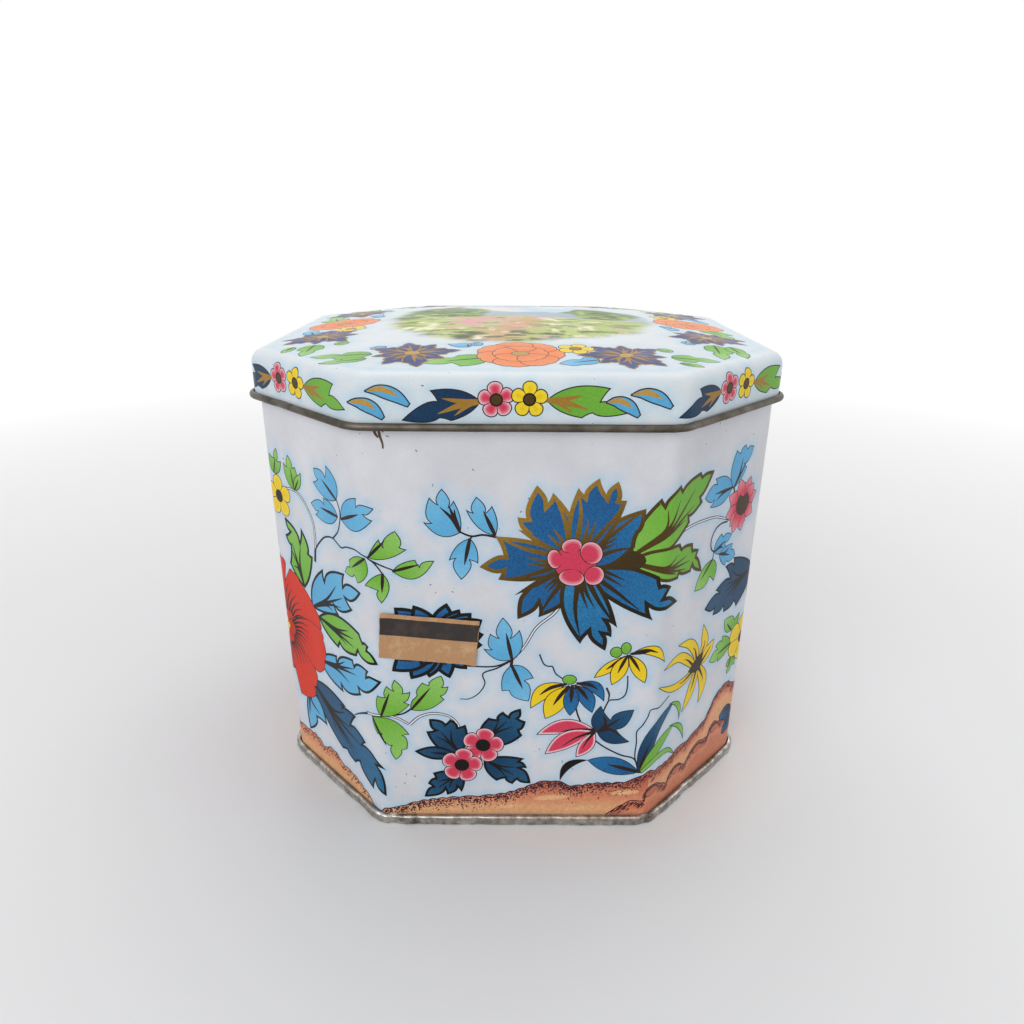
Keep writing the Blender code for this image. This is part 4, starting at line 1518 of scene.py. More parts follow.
def wall_wear() -> Motif:
    """The dark drip that has run from under the hem, and the small chips round it.

    Returns:
        The art, in the wall's own millimetres.
    """
    art = Motif()
    for knots, start, end in (
            ([(-29.6, 101.2), (-28, 101.3), (-26.6, 101.1)], 0.7, 0.5),
            ([(-28.8, 101.2), (-28.6, 99.8), (-28, 98.9)], 0.8, 0.4),
            ([(-27.9, 101.2), (-27.7, 99.4), (-27.2, 97.6), (-27.2, 96.6)], 0.7, 0.35),
            ([(-27.1, 101), (-27, 100)], 0.5, 0.3), ([(-20.6, 96.4), (-20.3, 96)], 0.22, 0.15),
            ([(-9.1, 92.4), (-8.9, 92)], 0.22, 0.16), ([(0.7, 82.8), (1, 83.2)], 0.2, 0.15)):
        art.stroke(knots, start, end, Ink.STAIN)
    return art


def skirt_border() -> Motif:
    """The running border of the lid's skirt, one half turn of it.

    Returns:
        The art, in millimetres along and up the skirt.
    """
    art = Motif()
    middle = 5.3
    pink = blossom(3.75, Ink.PINK, pale=True, disc=0.36, notch=0.28)
    yellow = blossom(3.75, Ink.YELLOW, disc=0.36, notch=0.36)
    for start in (0, 104.6):
        art.join(comma(9).placed(start - 30, middle + 1.4, -8), comma(7.4).placed(start - 33.4, middle - 1, -12),
                 border_leaf(Ink.NAVY).placed(start - 7.2, middle - 0.4, 186, 1.02, True),
                 pink.placed(start - 4.2, middle - 0.1, 96), yellow.placed(start + 2.3, middle, 88),
                 border_leaf(Ink.GREEN).placed(start + 5.6, middle - 0.1, -2, 0.98),
                 comma(7.2).placed(start + 17.2, middle - 0.6, -10), comma(8.6).placed(start + 22, middle + 0.9, -6))
    for start in (-55.8, 52):
        art.join(border_leaf(Ink.NAVY).placed(start - 6.8, middle - 0.2, 186, 0.88, True),
                 pink.placed(start - 3.6, middle + 0.1, 100, 0.94), yellow.placed(start + 3.3, middle, 80, 0.94),
                 border_leaf(Ink.GREEN).placed(start + 6.6, middle - 0.2, -2, 0.92))
    return art


def crown_border() -> Motif:
    """The ring of flowers round the picture on the lid's top. x and y are those of the tin.

    Returns:
        The art, in the tin's own millimetres.
    """
    art = Motif()
    for quarter in range(4):
        side = draw_leaves(
            (((-31, -45.4), (-37, -42.4), (-38, -44), (-44.6, -44.4), (-39.6, -46.4), (-38.4, -48)),
             ((-31.5, -49), (-36.8, -47.8), (-37.2, -49), (-41.4, -50.4), (-36.4, -51.4)),
             ((-6, -49.4), (-12.4, -47.6), (-13.8, -49.6), (-19.8, -53.4), (-13.6, -53), (-11.6, -55.4)),
             ((32.6, -46.4), (37.2, -49.4), (38.4, -47.8), (43, -47), (38.4, -45), (37, -43.4)),
             ((33.4, -51), (38.4, -52.6), (36.4, -50.4))),
            LeafStyle(Ink.GREEN, veins=1, vein=0.7, belly=0.16))
        side.join(draw_leaves(
            (((17, -50.6), (13.8, -48.6), (12.8, -50.4), (8.4, -53.4), (13, -54)),
             ((-10.6, -41), (-11.2, -37.2), (-15.4, -38.2))),
            LeafStyle(Ink.SKY, veins=1, vein=0.7, belly=0.18)))
        side.join(curl(1.7, Ink.SKY).placed(-30.6, -39.6, 20), curl(1.7, Ink.GREEN).placed(32.4, -40.2, 160),
                  curl(1.5, Ink.SKY).placed(-9, -38.4, 90))
        side.join(gilt_flower(10.6).placed(-22.4, -45.8, 8), gilt_flower(10.6).placed(23, -46.8, 40),
                  orange_flower(9.6).placed(0.6, -46.2, 0),
                  blossom(4.2, Ink.YELLOW, disc=0.34, disc_ink=Ink.LID_GOLD, notch=0.3).placed(12.6, -42))
        art.join(side.placed(0, 0, 90 * quarter))
    return art


# Printing: the art becomes thin closed films of ink on the tin


@dataclass(frozen=True)
class Stretch:
    """A flat stretch of the tin that is printed, and how often it repeats round it.

    Lines are distances along which the sheet starts or ends a bend, where the film needs points.
    """
    surface: Surface
    low: tuple[float, float]
    high: tuple[float, float]
    repeats: int = 1
    pitch: float = 0.0
    grid: float = 1.0
    lines: tuple = ()
    levels: tuple = ()


@dataclass
class Film:
    """Triangles of a printed stretch, each with the patch that shows there, or none."""
    spots: Points
    triangles: Points
    owners: Points
    patches: list[Patch]


def windings(spots: Points, edge: Points) -> Points:
    """How often an outline runs anticlockwise round each spot.

    Args:
        spots: The spots.
        edge: The closed outline.

    Returns:
        The number of turns for each spot.
    """
    x, y = spots[:, 0, None], spots[:, 1, None]
    ax, ay = edge.T
    bx, by = np.roll(edge, -1, axis=0).T
    side = (bx - ax) * (y - ay) - (x - ax) * (by - ay)
    up = (ay <= y) & (by > y) & (side > 0)
    down = (ay > y) & (by <= y) & (side < 0)
    return up.sum(1) - down.sum(1)


def repeated(art: Motif, stretch: Stretch) -> list[Patch]:
    """The patches of the art that show in a stretch, also those that reach in from the next repeat.

    Args:
        art: What is printed.
        stretch: Where it is printed.

    Returns:
        The patches, the lowest first.
    """
    found = []
    for patch in art.patches:
        low, high = patch.edge[:, 0].min(), patch.edge[:, 0].max()
        for step in (-1, 0, 1) if stretch.pitch else (0,):
            shift = step * stretch.pitch
            if high + shift > stretch.low[0] and low + shift < stretch.high[0]:
                tint = Tint((patch.tint.start[0] + shift, patch.tint.start[1]),
                            (patch.tint.end[0] + shift, patch.tint.end[1]), patch.tint.first, patch.tint.last)
                found.append(Patch(patch.edge + np.array([shift, 0.0]), patch.ink, tint))
    return found


def press(art: Motif, stretch: Stretch) -> Film:
    """Cut a stretch into triangles along every outline of the art, and find which patch lies on top.

    Args:
        art: What is printed.
        stretch: Where it is printed.

    Returns:
        The film.
    """
    patches = repeated(art, stretch)
    spots, edges = [], []
    total = 0
    for patch in patches:
        count = len(patch.edge)
        here = total + np.arange(count)
        spots.append(patch.edge)
        edges.append(np.column_stack([here, np.roll(here, -1)]))
        total += count
    for line in (*stretch.lines, stretch.low[0], stretch.high[0]):
        spots.append(np.array([(line, stretch.low[1]), (line, stretch.high[1])]))
        edges.append(np.array([[total, total + 1]]))
        total += 2
    for level in stretch.levels:
        spots.append(np.array([(stretch.low[0], level), (stretch.high[0], level)]))
        edges.append(np.array([[total, total + 1]]))
        total += 2
    across, up = np.meshgrid(np.arange(stretch.low[0] + 0.5, stretch.high[0], stretch.grid),
                             np.arange(stretch.low[1] + 0.5, stretch.high[1], stretch.grid))
    spots.append(np.column_stack([across.ravel(), up.ravel()]))
    flat = [Vector(spot) for spot in np.concatenate(spots).tolist()]
    out = delaunay_2d_cdt(flat, np.concatenate(edges).tolist(), [], 0, CUT_GAP, False)
    points = np.array([tuple(spot) for spot in out[0]])
    triangles = np.array(out[2])
    middles = points[triangles].mean(1)
    order = np.argsort(middles[:, 0])
    triangles, middles = triangles[order], middles[order]
    owners = np.full(len(triangles), -1)
    inside = ((middles[:, 0] > stretch.low[0]) & (middles[:, 0] < stretch.high[0])
              & (middles[:, 1] > stretch.low[1]) & (middles[:, 1] < stretch.high[1]))
    for number, patch in enumerate(patches):
        low, high = patch.edge.min(0), patch.edge.max(0)
        first, last = np.searchsorted(middles[:, 0], (low[0], high[0]))
        near = np.arange(first, last)
        near = near[(middles[near, 1] > low[1]) & (middles[near, 1] < high[1]) & inside[near]]
        for part in np.array_split(near, max(1, len(near) * len(patch.edge) // BATCH_TESTS)):
            owners[part[windings(middles[part], patch.edge) > 0]] = number
    LOG.info("pressed %d patches into %d triangles", len(patches), len(triangles))
    return Film(points, triangles, owners, patches)


def ink_film(film: Film, stretch: Stretch, ink: Ink) -> Optional[tuple]:
    """The closed film of one ink.

    Args:
        film: The pressed art.
        stretch: Where it is printed.
        ink: The ink.

    Returns:
        Vertices, triangles and the tint of each triangle corner, or None where the ink isn't used.
    """
    used = np.array([patch.ink is ink for patch in film.patches] + [False])
    chosen = np.flatnonzero(used[film.owners])
    if not len(chosen):
        return None
    corners = film.triangles[chosen]
    owners = film.owners[chosen]
    names, local = np.unique(corners, return_inverse=True)
    local = local.reshape(corners.shape)
    flat = film.spots[names]
    tints = np.zeros(corners.shape)
    for owner in np.unique(owners):
        mine = owners == owner
        tints[mine] = film.patches[owner].tint.at(film.spots[corners[mine]].reshape(-1, 2)).reshape(-1, 3)
    ends = np.concatenate([local[:, [0, 1]], local[:, [1, 2]], local[:, [2, 0]]])
    starts = np.concatenate([tints[:, 0], tints[:, 1], tints[:, 2]])
    count = len(names)
    keys = ends[:, 0] * count + ends[:, 1]
    rims = ~np.isin(keys, ends[:, 1] * count + ends[:, 0])
    a, b = ends[rims].T
    edge_tint = np.repeat(starts[rims][:, None], 3, axis=1)
    faces = np.concatenate([local, local[:, ::-1] + count, np.column_stack([a, a + count, b]),
                            np.column_stack([b, a + count, b + count])])
    tint = np.concatenate([tints, tints[:, ::-1], edge_tint, edge_tint])
    verts, all_faces, all_tints = [], [], []
    for turn in range(stretch.repeats):
        moved = flat + np.array([turn * stretch.pitch, 0.0])
        base = sum(len(part) for part in verts)
        verts += [stretch.surface.place(moved, FILM_LIFT), stretch.surface.place(moved, -FILM_DEPTH)]
        all_faces.append(faces + base)
        all_tints.append(tint)
    return np.concatenate(verts), np.concatenate(all_faces), np.concatenate(all_tints)


def print_art(prefix: str, film: Film, stretch: Stretch, body: str, inks: dict) -> list:
    """Lay the films of every ink of a stretch on the tin.

    Args:
        prefix: Start of the pieces' names.
        film: The pressed art.
        stretch: Where it is printed.
        body: CAD body that it rides on.
        inks: The material of each ink.

    Returns:
        The pieces.
    """
    pieces = []
    for ink in Ink:
        made = ink_film(film, stretch, ink)
        if made is None:
            continue
        verts, faces, tints = made
        piece = new_piece(f"{prefix}_{ink.value}", verts, faces.tolist(), body, [inks[ink]])
        layer = piece.data.attributes.new("tint", "FLOAT", "CORNER")
        layer.data.foreach_set("value", tints.astype(np.float32).ravel())
        pieces.append(piece)
    return pieces


@dataclass
class Glow:
    """The soft blue halo that is sprayed round the flowers."""
    film: Film
    stretch: Stretch
    reach: float = 1.5
    falloff: float = 1.6

    def sprayed(self) -> Points:
        """Which triangles have a halo: all the inked ones but those of the wear."""
        clean = [patch.ink is not Ink.STAIN for patch in self.film.patches] + [False]
        return np.array(clean)[self.film.owners]

    def tree(self) -> KDTree:
        """The inked points, and those of the next repeats near the ends.

        Returns:
            The tree that finds the nearest of them.
        """
        inked = self.film.spots[np.unique(self.film.triangles[self.sprayed()])]
        copies = [inked]
        low, high = self.stretch.low[0] - HALO_MARGIN, self.stretch.high[0] + HALO_MARGIN
        if self.stretch.pitch:
            for step in (-1, 1):
                moved = inked + np.array([step * self.stretch.pitch, 0.0])
                copies.append(moved[(moved[:, 0] > low) & (moved[:, 0] < high)])
        spots = np.concatenate(copies)
        found = KDTree(len(spots))
        for number, (x, y) in enumerate(spots.tolist()):
            found.insert((x, y, 0.0), number)
        found.balance()
        return found

    def at(self, flat: Points) -> Points:
        """Strength of the halo at flat points, 1 at the ink.

        Args:
            flat: The points.

        Returns:
            The strengths.
        """
        tree = self.tree()
        x = flat[:, 0]
        if self.stretch.pitch:
            x = (x - self.stretch.low[0]) % self.stretch.pitch + self.stretch.low[0]
        away = np.array([tree.find((a, b, 0.0))[2] for a, b in zip(x.tolist(), flat[:, 1].tolist())])
        return np.exp(-(away / self.reach) ** self.falloff)


def set_values(piece: bpy.types.Object, name: str, values: Points) -> None:
    """Give each vertex of a piece a number."""
    layer = piece.data.attributes.new(name, "FLOAT", "POINT")
    layer.data.foreach_set("value", np.asarray(values, np.float32))


def linear(code: str) -> tuple[float, float, float, float]:
    """An sRGB hex colour as linear numbers with alpha 1."""
    parts = [int(code[place:place + 2], 16) / 255 for place in (1, 3, 5)]
    return (*[part / 12.92 if part <= 0.04045 else ((part + 0.055) / 1.055) ** 2.4 for part in parts], 1.0)


def add_node(tree: bpy.types.NodeTree, kind: str, inputs: Optional[dict] = None, output: object = 0,
             **settings: object) -> bpy.types.NodeSocket:
    """Add a shader node with its settings and links.

    Args:
        tree: Node tree to add it to.
        kind: The node's type name without "ShaderNode".
        inputs: Values or output sockets for its inputs, by name or number.
        output: Name or number of the output that is wanted.
        settings: Properties of the node to set.

    Returns:
        The output socket.
    """
    node = tree.nodes.new("ShaderNode" + kind)
    for name, value in settings.items():
        setattr(node, name, value)
    for name, value in (inputs or {}).items():
        if isinstance(value, bpy.types.NodeSocket):
            tree.links.new(value, node.inputs[name])
        else:
            node.inputs[name].default_value = value
    return node.outputs[output]


# Finishes


@dataclass
class Surfacing:
    """A material under construction: its tree, its shader and the piece's own coordinates."""
    material: bpy.types.Material
    tree: bpy.types.NodeTree
    shader: bpy.types.Node
    coords: bpy.types.NodeSocket

    @classmethod
    def start(cls, name: str) -> "Surfacing":
        """Start a material.

        Args:
            name: Its name.

        Returns:
            The material with its first nodes.
        """
        material = bpy.data.materials.new(name)
        material.use_nodes = True
        tree = material.node_tree
        return cls(material, tree, tree.nodes["Principled BSDF"], add_node(tree, "TexCoord", output="Object"))

    def noise(self, scale: float, detail: float = 2.0, rough: float = 0.5,
              coords: Optional[bpy.types.NodeSocket] = None) -> bpy.types.NodeSocket:
        """Noise in the piece's own coordinates, or in others."""
        return add_node(self.tree, "TexNoise", {"Vector": coords or self.coords, "Scale": scale, "Detail": detail,
                                                "Roughness": rough})

    def spread(self, value: bpy.types.NodeSocket, low: float, high: float, to_low: float = 0.0,
               to_high: float = 1.0) -> bpy.types.NodeSocket:
        """A value taken from one span to another, and held within it."""
        return add_node(self.tree, "MapRange", {"Value": value, "From Min": low, "From Max": high,
                                                "To Min": to_low, "To Max": to_high})

    def over(self, share: bpy.types.NodeSocket, under: object, colour: object) -> bpy.types.NodeSocket:
        """A colour laid over another one by a share."""
        return add_node(self.tree, "Mix", {0: share, 6: under, 7: colour}, 2, data_type="RGBA")

    def times(self, colour: bpy.types.NodeSocket, factor: bpy.types.NodeSocket) -> bpy.types.NodeSocket:
        """A colour made darker or lighter by a factor."""
        return add_node(self.tree, "Mix", {0: 1.0, 6: colour, 7: factor}, 2, data_type="RGBA", blend_type="MULTIPLY")

    def stored(self, name: str, output: str = "Fac") -> bpy.types.NodeSocket:
        """What the mesh has stored under a name."""
        return add_node(self.tree, "Attribute", output=output, attribute_name=name)

    def finish(self, colour: bpy.types.NodeSocket, rough: bpy.types.NodeSocket, height: bpy.types.NodeSocket,
               deep: float, **constants: float) -> bpy.types.Material:
        """Link the shader up.

        Args:
            colour: Base colour.
            rough: Roughness.
            height: Height of the bumps, 0 to 1.
            deep: Their depth in millimetres.
            constants: Plain values of the shader's inputs, by name with _ for a space.

        Returns:
            The material.
        """
        bumps = add_node(self.tree, "Bump", {"Strength": 0.5, "Distance": deep * MM, "Height": height})
        for name, socket in (("Base Color", colour), ("Roughness", rough), ("Normal", bumps)):
            self.tree.links.new(socket, self.shader.inputs[name])
        for name, value in constants.items():
            self.shader.inputs[name.replace("_", " ")].default_value = value
        return self.material

    def varnished(self, colour: bpy.types.NodeSocket) -> bpy.types.Material:
        """Clear stoving varnish, roller coated over the print and baked.

        It gives the eye a soft even gloss with a faint orange peel, dulled in patches by handling.

        Args:
            colour: Colour under the varnish.

        Returns:
            The material.
        """
        rough = self.spread(self.noise(110.0, 4.0, 0.6), 0.35, 0.7, 0.3, 0.44)
        return self.finish(colour, rough, self.noise(1400.0), 0.015, Specular_IOR_Level=0.18)


@dataclass(frozen=True)
class InkFinish:
    """Offset litho ink on tinplate, under varnish: flat colour with the grain of the plate's screen in it."""
    dark: str
    base: str
    light: str
    grain: float = 0.25
    scale: float = 2500.0

    def make(self, name: str) -> bpy.types.Material:
        """The ink's material. Its tint attribute runs from dark to light.

        Args:
            name: Name of the material.

        Returns:
            The material.
        """
        made = Surfacing.start(name)
        colour = add_node(made.tree, "ValToRGB", {"Fac": made.stored("tint")})
        stops = colour.node.color_ramp.elements
        stops[0].color, stops[1].color = linear(self.dark), linear(self.light)
        stops.new(0.5).color = linear(self.base)
        # The screen's dots are finer than a pixel, so the grain is drawn a few times coarser
        grain = made.spread(made.noise(self.scale, 3.0, 0.7), 0.3, 0.7, 1.0 - self.grain, 1.0 + self.grain)
        return made.varnished(made.times(colour, grain))


INK_FINISHES = {
    Ink.KEYLINE: InkFinish("#1A1210", "#2C1D18", "#4A3530", 0.12),
    Ink.BORDER: InkFinish("#090A0A", "#12110C", "#261F12", 0.15),
    Ink.BRONZE: InkFinish("#131009", "#4E3A14", "#AC842E", 0.2),
    Ink.OLIVE: InkFinish("#241B0A", "#4F3C16", "#8F6F30", 0.18),
    Ink.BLUE: InkFinish("#123E68", "#1E5E94", "#2F8ABA", 0.36),
    Ink.NAVY: InkFinish("#0A2340", "#133E60", "#2F709A", 0.28),
    Ink.SKY: InkFinish("#4190C4", "#62B0DC", "#9AD2EC", 0.12),
    Ink.GREEN: InkFinish("#4B8B2C", "#74B43E", "#ADDA82", 0.12),
    Ink.PINK: InkFinish("#B21E3C", "#D43F5B", "#F5D6DD", 0.1),
    Ink.WHITE: InkFinish("#D6DDE6", "#ECECF0", "#F6F6F8", 0.03),
    Ink.RED: InkFinish("#9C1606", "#D62A0C", "#EC5A34", 0.14),
    Ink.YELLOW: InkFinish("#C99D08", "#EECA14", "#F7E045", 0.06),
    Ink.ROCK: InkFinish("#AC523E", "#D88A68", "#EDC48E", 0.14, 1250.0),
    Ink.PLUM: InkFinish("#220F1E", "#34182A", "#552B38", 0.15),
    Ink.HATCH: InkFinish("#2A1220", "#4A2028", "#7A4038", 0.15),
    Ink.ORANGE: InkFinish("#D9602E", "#EE8449", "#F6AC76", 0.1),
    Ink.SLATE: InkFinish("#1F2C58", "#36437A", "#626EA2", 0.25),
    Ink.LID_GOLD: InkFinish("#6E4D18", "#A1782F", "#D0A958", 0.15),
    Ink.STAIN: InkFinish("#3A2C25", "#5E4B3C", "#8A7968", 0.4),
}


@dataclass(frozen=True)
class GroundFinish:
    """White enamel ground of the print, roller coated on tinplate, under varnish.

    It gives the eye a greyed white that is darker where it was handled, pale blue haloes, and a few specks.
    """
    white: str = "#DFE0E5"
    grey: str = "#D1D2D8"
    halo: str = "#A9CFE8"
    speck: str = "#5A5048"

    def make(self, name: str, picture: bool) -> bpy.types.Material:
        """The ground's material, with the lid's picture in it if picture.

        Args:
            name: Name of the material.
            picture: Whether the lid's picture is painted on it.

        Returns:
            The material.
        """
        made = Surfacing.start(name)
        mottle = made.spread(made.noise(70.0, 5.0, 0.6), 0.3, 0.7)
        colour = made.over(mottle, linear(self.white), linear(self.grey))
        colour = made.times(colour, made.spread(made.noise(2900.0, 3.0, 0.7), 0.3, 0.7, 0.965, 1.02))
        patchy = made.spread(made.noise(330.0, 3.0, 0.6), 0.3, 0.7, 0.25, 0.95)
        sprayed = add_node(made.tree, "Math", {0: made.stored("halo"), 1: patchy}, operation="MULTIPLY")
        colour = made.over(sprayed, colour, linear(self.halo))
        if picture:
            colour = made.over(made.stored("picture_share"), colour, made.stored("picture", "Color"))
        specks = made.spread(made.noise(900.0, 1.0), 0.775, 0.8, to_high=0.75)
        return made.varnished(made.over(specks, colour, linear(self.speck)))


@dataclass(frozen=True)
class TinFinish:
    """Bare tinplate: cold-rolled steel with a bright tin coat, bent and rubbed.

    It gives the eye a soft grey metal shine with brighter rubs and dull brown tarnish.
    """
    bright: str
    dull: str
    tarnish: str
    rough: tuple[float, float]
    share: tuple[float, float]
    rubs: float = 450.0

    def make(self, name: str) -> bpy.types.Material:
        """The bare metal's material.

        Args:
            name: Name of the material.

        Returns:
            The material.
        """
        made = Surfacing.start(name)
        rub = made.spread(made.noise(self.rubs, 4.0, 0.6), 0.35, 0.65)
        stain = made.spread(made.noise(200.0, 5.0, 0.7), *self.share, to_high=0.85)
        colour = made.over(stain, made.over(rub, linear(self.bright), linear(self.dull)), linear(self.tarnish))
        rough = made.spread(rub, 0.0, 1.0, *self.rough)
        return made.finish(colour, rough, made.noise(2000.0, 3.0, 0.6), 0.05, Metallic=1.0)


@dataclass(frozen=True)
class PaperFinish:
    """Kraft label paper, machine glazed: brown with paler and darker fibres, scuffed at its edges."""
    base: str
    fibre: str
    scuff: str

    def make(self, name: str) -> bpy.types.Material:
        """The paper's material.

        Args:
            name: Name of the material.

        Returns:
            The material.
        """
        made = Surfacing.start(name)
        lying = add_node(made.tree, "Mapping", {"Vector": made.coords, "Scale": (1.0, 1.0, 4.0)})
        fibres = made.spread(made.noise(2000.0, 4.0, 0.7, lying), 0.35, 0.65)
        scuffs = made.spread(made.noise(290.0, 4.0, 0.7), 0.5, 0.72, to_high=0.8)
        colour = made.over(scuffs, made.over(fibres, linear(self.base), linear(self.fibre)), linear(self.scuff))
        return made.finish(colour, made.spread(fibres, 0.0, 1.0, 0.6, 0.8), fibres, 0.06)


@dataclass
class Finishes:
    """Every material of the tin."""
    wall: bpy.types.Material
    lid: bpy.types.Material
    bright: bpy.types.Material
    hem: bpy.types.Material
    inside: bpy.types.Material
    paper: bpy.types.Material
    band: bpy.types.Material
    inks: dict

    @classmethod
    def make(cls) -> "Finishes":
        """Make all the materials.

        Returns:
            The materials.
        """
        return cls(
            wall=GroundFinish().make("enamel_ground_wall", False),
            lid=GroundFinish("#E4EAED", "#D9E1E6", "#B2D6EA").make("enamel_ground_lid", True),
            bright=TinFinish("#C2BEB8", "#857E76", "#3F352C", (0.22, 0.38), (0.52, 0.7)).make("bare_tin_seam"),
            hem=TinFinish("#69635A", "#4D473E", "#2C261F", (0.34, 0.46), (0.56, 0.78), 160.0).make(
                "tarnished_tin_hem"),
            inside=TinFinish("#BDB9B0", "#A39E94", "#85796A", (0.3, 0.45), (0.58, 0.8)).make("bare_tin_inside"),
            paper=PaperFinish("#C2946A", "#B0845A", "#CFAC86").make("kraft_label_paper"),
            band=PaperFinish("#1E1816", "#2C2320", "#44372E").make("kraft_label_band"),
            inks={ink: finish.make("ink_" + ink.value) for ink, finish in INK_FINISHES.items()})


# Sub-assemblies


@dataclass
class Wall:
    """The printed wall, open at its top and foot, and its print."""
    finishes: Finishes
    foot: float = 0.55
    print_foot: float = 2.3
    rows: int = 108
    inner_rows: int = 12
    face: WallFace = WallFace()

    def stretch(self) -> Stretch:
        """The half turn of wall that is printed twice.

        Returns:
            The stretch.
        """
        half = PLAN.half_turn / 2
        return Stretch(self.face, (-half, self.print_foot), (half, PLAN.wall_top), 2, PLAN.half_turn, 1.0,
                       PLAN.bend_lines())

    def build(self) -> None:
        """Build the sheet and print it."""
        stretch = self.stretch()
        film = press(Motif().join(Rocks().art(), wall_stems(), front_blooms(), green_sprays(), twin_blossoms(),
                                  meadow(), left_bouquet(), right_bouquet(), side_bouquet(), wall_wear()), stretch)
        along = PLAN.columns()
        outer = np.linspace(self.foot, PLAN.wall_top, self.rows + 1)
        inner = np.linspace(PLAN.wall_top, self.foot, self.inner_rows)
        rings = [self.face.place(level_line(along, up), 0.0) for up in outer]
        rings += [self.face.place(level_line(along, up), -PLAN.sheet) for up in inner]
        sides = [Side.PRINTED] * self.rows + [Side.BARE] * (len(inner) + 1)
        verts, faces, materials = Shell(rings, sides).build()
        wall = new_piece("wall_sheet", verts, faces, "tin_body",
                         [self.finishes.wall, self.finishes.inside])
        set_sides(wall, materials)
        half = len(along) // 2
        glow = Glow(film, stretch)
        values = np.zeros((len(rings), len(along)))
        for row, up in enumerate(outer):
            values[row, :half] = glow.at(level_line(along[:half], up))
            values[row, half:] = values[row, :half]
        set_values(wall, "halo", values.ravel())
        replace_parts(wall, "body_wall")
        print_art("wall_print", film, stretch, "tin_body", self.finishes.inks)


def lump(along: Points, waves: Sequence[tuple[int, float, float]]) -> Points:
    """Slow waves round the tin: each has a count, a height and a phase."""
    turn = 2 * math.pi * along / (2 * PLAN.half_turn)
    return sum(high * np.sin(count * turn + phase) for count, high, phase in waves)


def nicks(along: Points, seed: int, count: int, depth: float, width: float) -> Points:
    """Small dents at random places round the tin, more of them near the corners.

    Args:
        along: Distances along the tin.
        seed: Seed of the random draws.
        count: How many dents there are.
        depth: Depth of the deepest.
        width: Their usual width.

    Returns:
        Depth of the dents at each distance.
    """
    rng = np.random.default_rng(seed)
    around = 2 * PLAN.half_turn
    total = np.zeros(len(along))
    corners = PLAN.corners()
    for number in range(count):
        centre = corners[rng.integers(8)] + rng.normal(0, 2.5) if number % 3 else rng.uniform(0, around)
        away = (along - centre + around / 2) % around - around / 2
        total += rng.uniform(0.3, 1.0) * depth * np.exp(-(away / (width * rng.uniform(0.5, 1.5))) ** 2)
    return total


@dataclass
class RolledEdges:
    """The wall's rolled rim and the lid's rolled hem: tubes of bare sheet."""
    finishes: Finishes
    seed: int = 5
    dents: int = 40

    def tube(self, name: str, section: Points, dent: float, body: str,
             material: bpy.types.Material, node: str) -> None:
        """Sweep a section round the tin with small dents, and put it in place of a CAD node.

        Args:
            name: Name of the piece.
            section: The section.
            dent: Depth of the dents.
            body: CAD body that it rides on.
            material: Its material.
            node: The CAD node.
        """
        def lumps(along: Points, place: int) -> Points:
            """Push one point of the section inwards and up, all along the tin.

            Args:
                along: Distances along the tin.
                place: Number of the point. It is not used, as each point moves alike.

            Returns:
                Its shifts out and up at each distance.
            """
            dents = nicks(along, self.seed, self.dents, dent, 1.2) + lump(along, ((13, 0.03, 0.4), (29, 0.02, 1.1)))
            push = 0.01 + np.maximum(0.0, dents)
            return np.column_stack([-push, 0.4 * push])

        shell = Shell(sweep_section(section, lumps), [Side.PRINTED] * len(section))
        verts, faces, _ = shell.build()
        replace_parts(new_piece(name, verts, faces, body, [material]), node)

    def build(self) -> None:
        """Build both."""
        middle = PLAN.rim_radius - PLAN.sheet / 2
        rim = thick_line(arc((-PLAN.rim_radius, PLAN.wall_top), middle, 27, 248, 18), PLAN.sheet)
        self.tube("rim_roll", rim, 0.05, "tin_body", self.finishes.bright, "body_rim_curl")
        out = PLAN.lid_gap + PLAN.sheet / 2 + middle
        hem = thick_line(arc((out, PLAN.hem_height), middle, 180, 285, 22), PLAN.sheet)
        self.tube("hem_roll", hem, 0.07, "lid", self.finishes.hem, "lid_hem_curl")


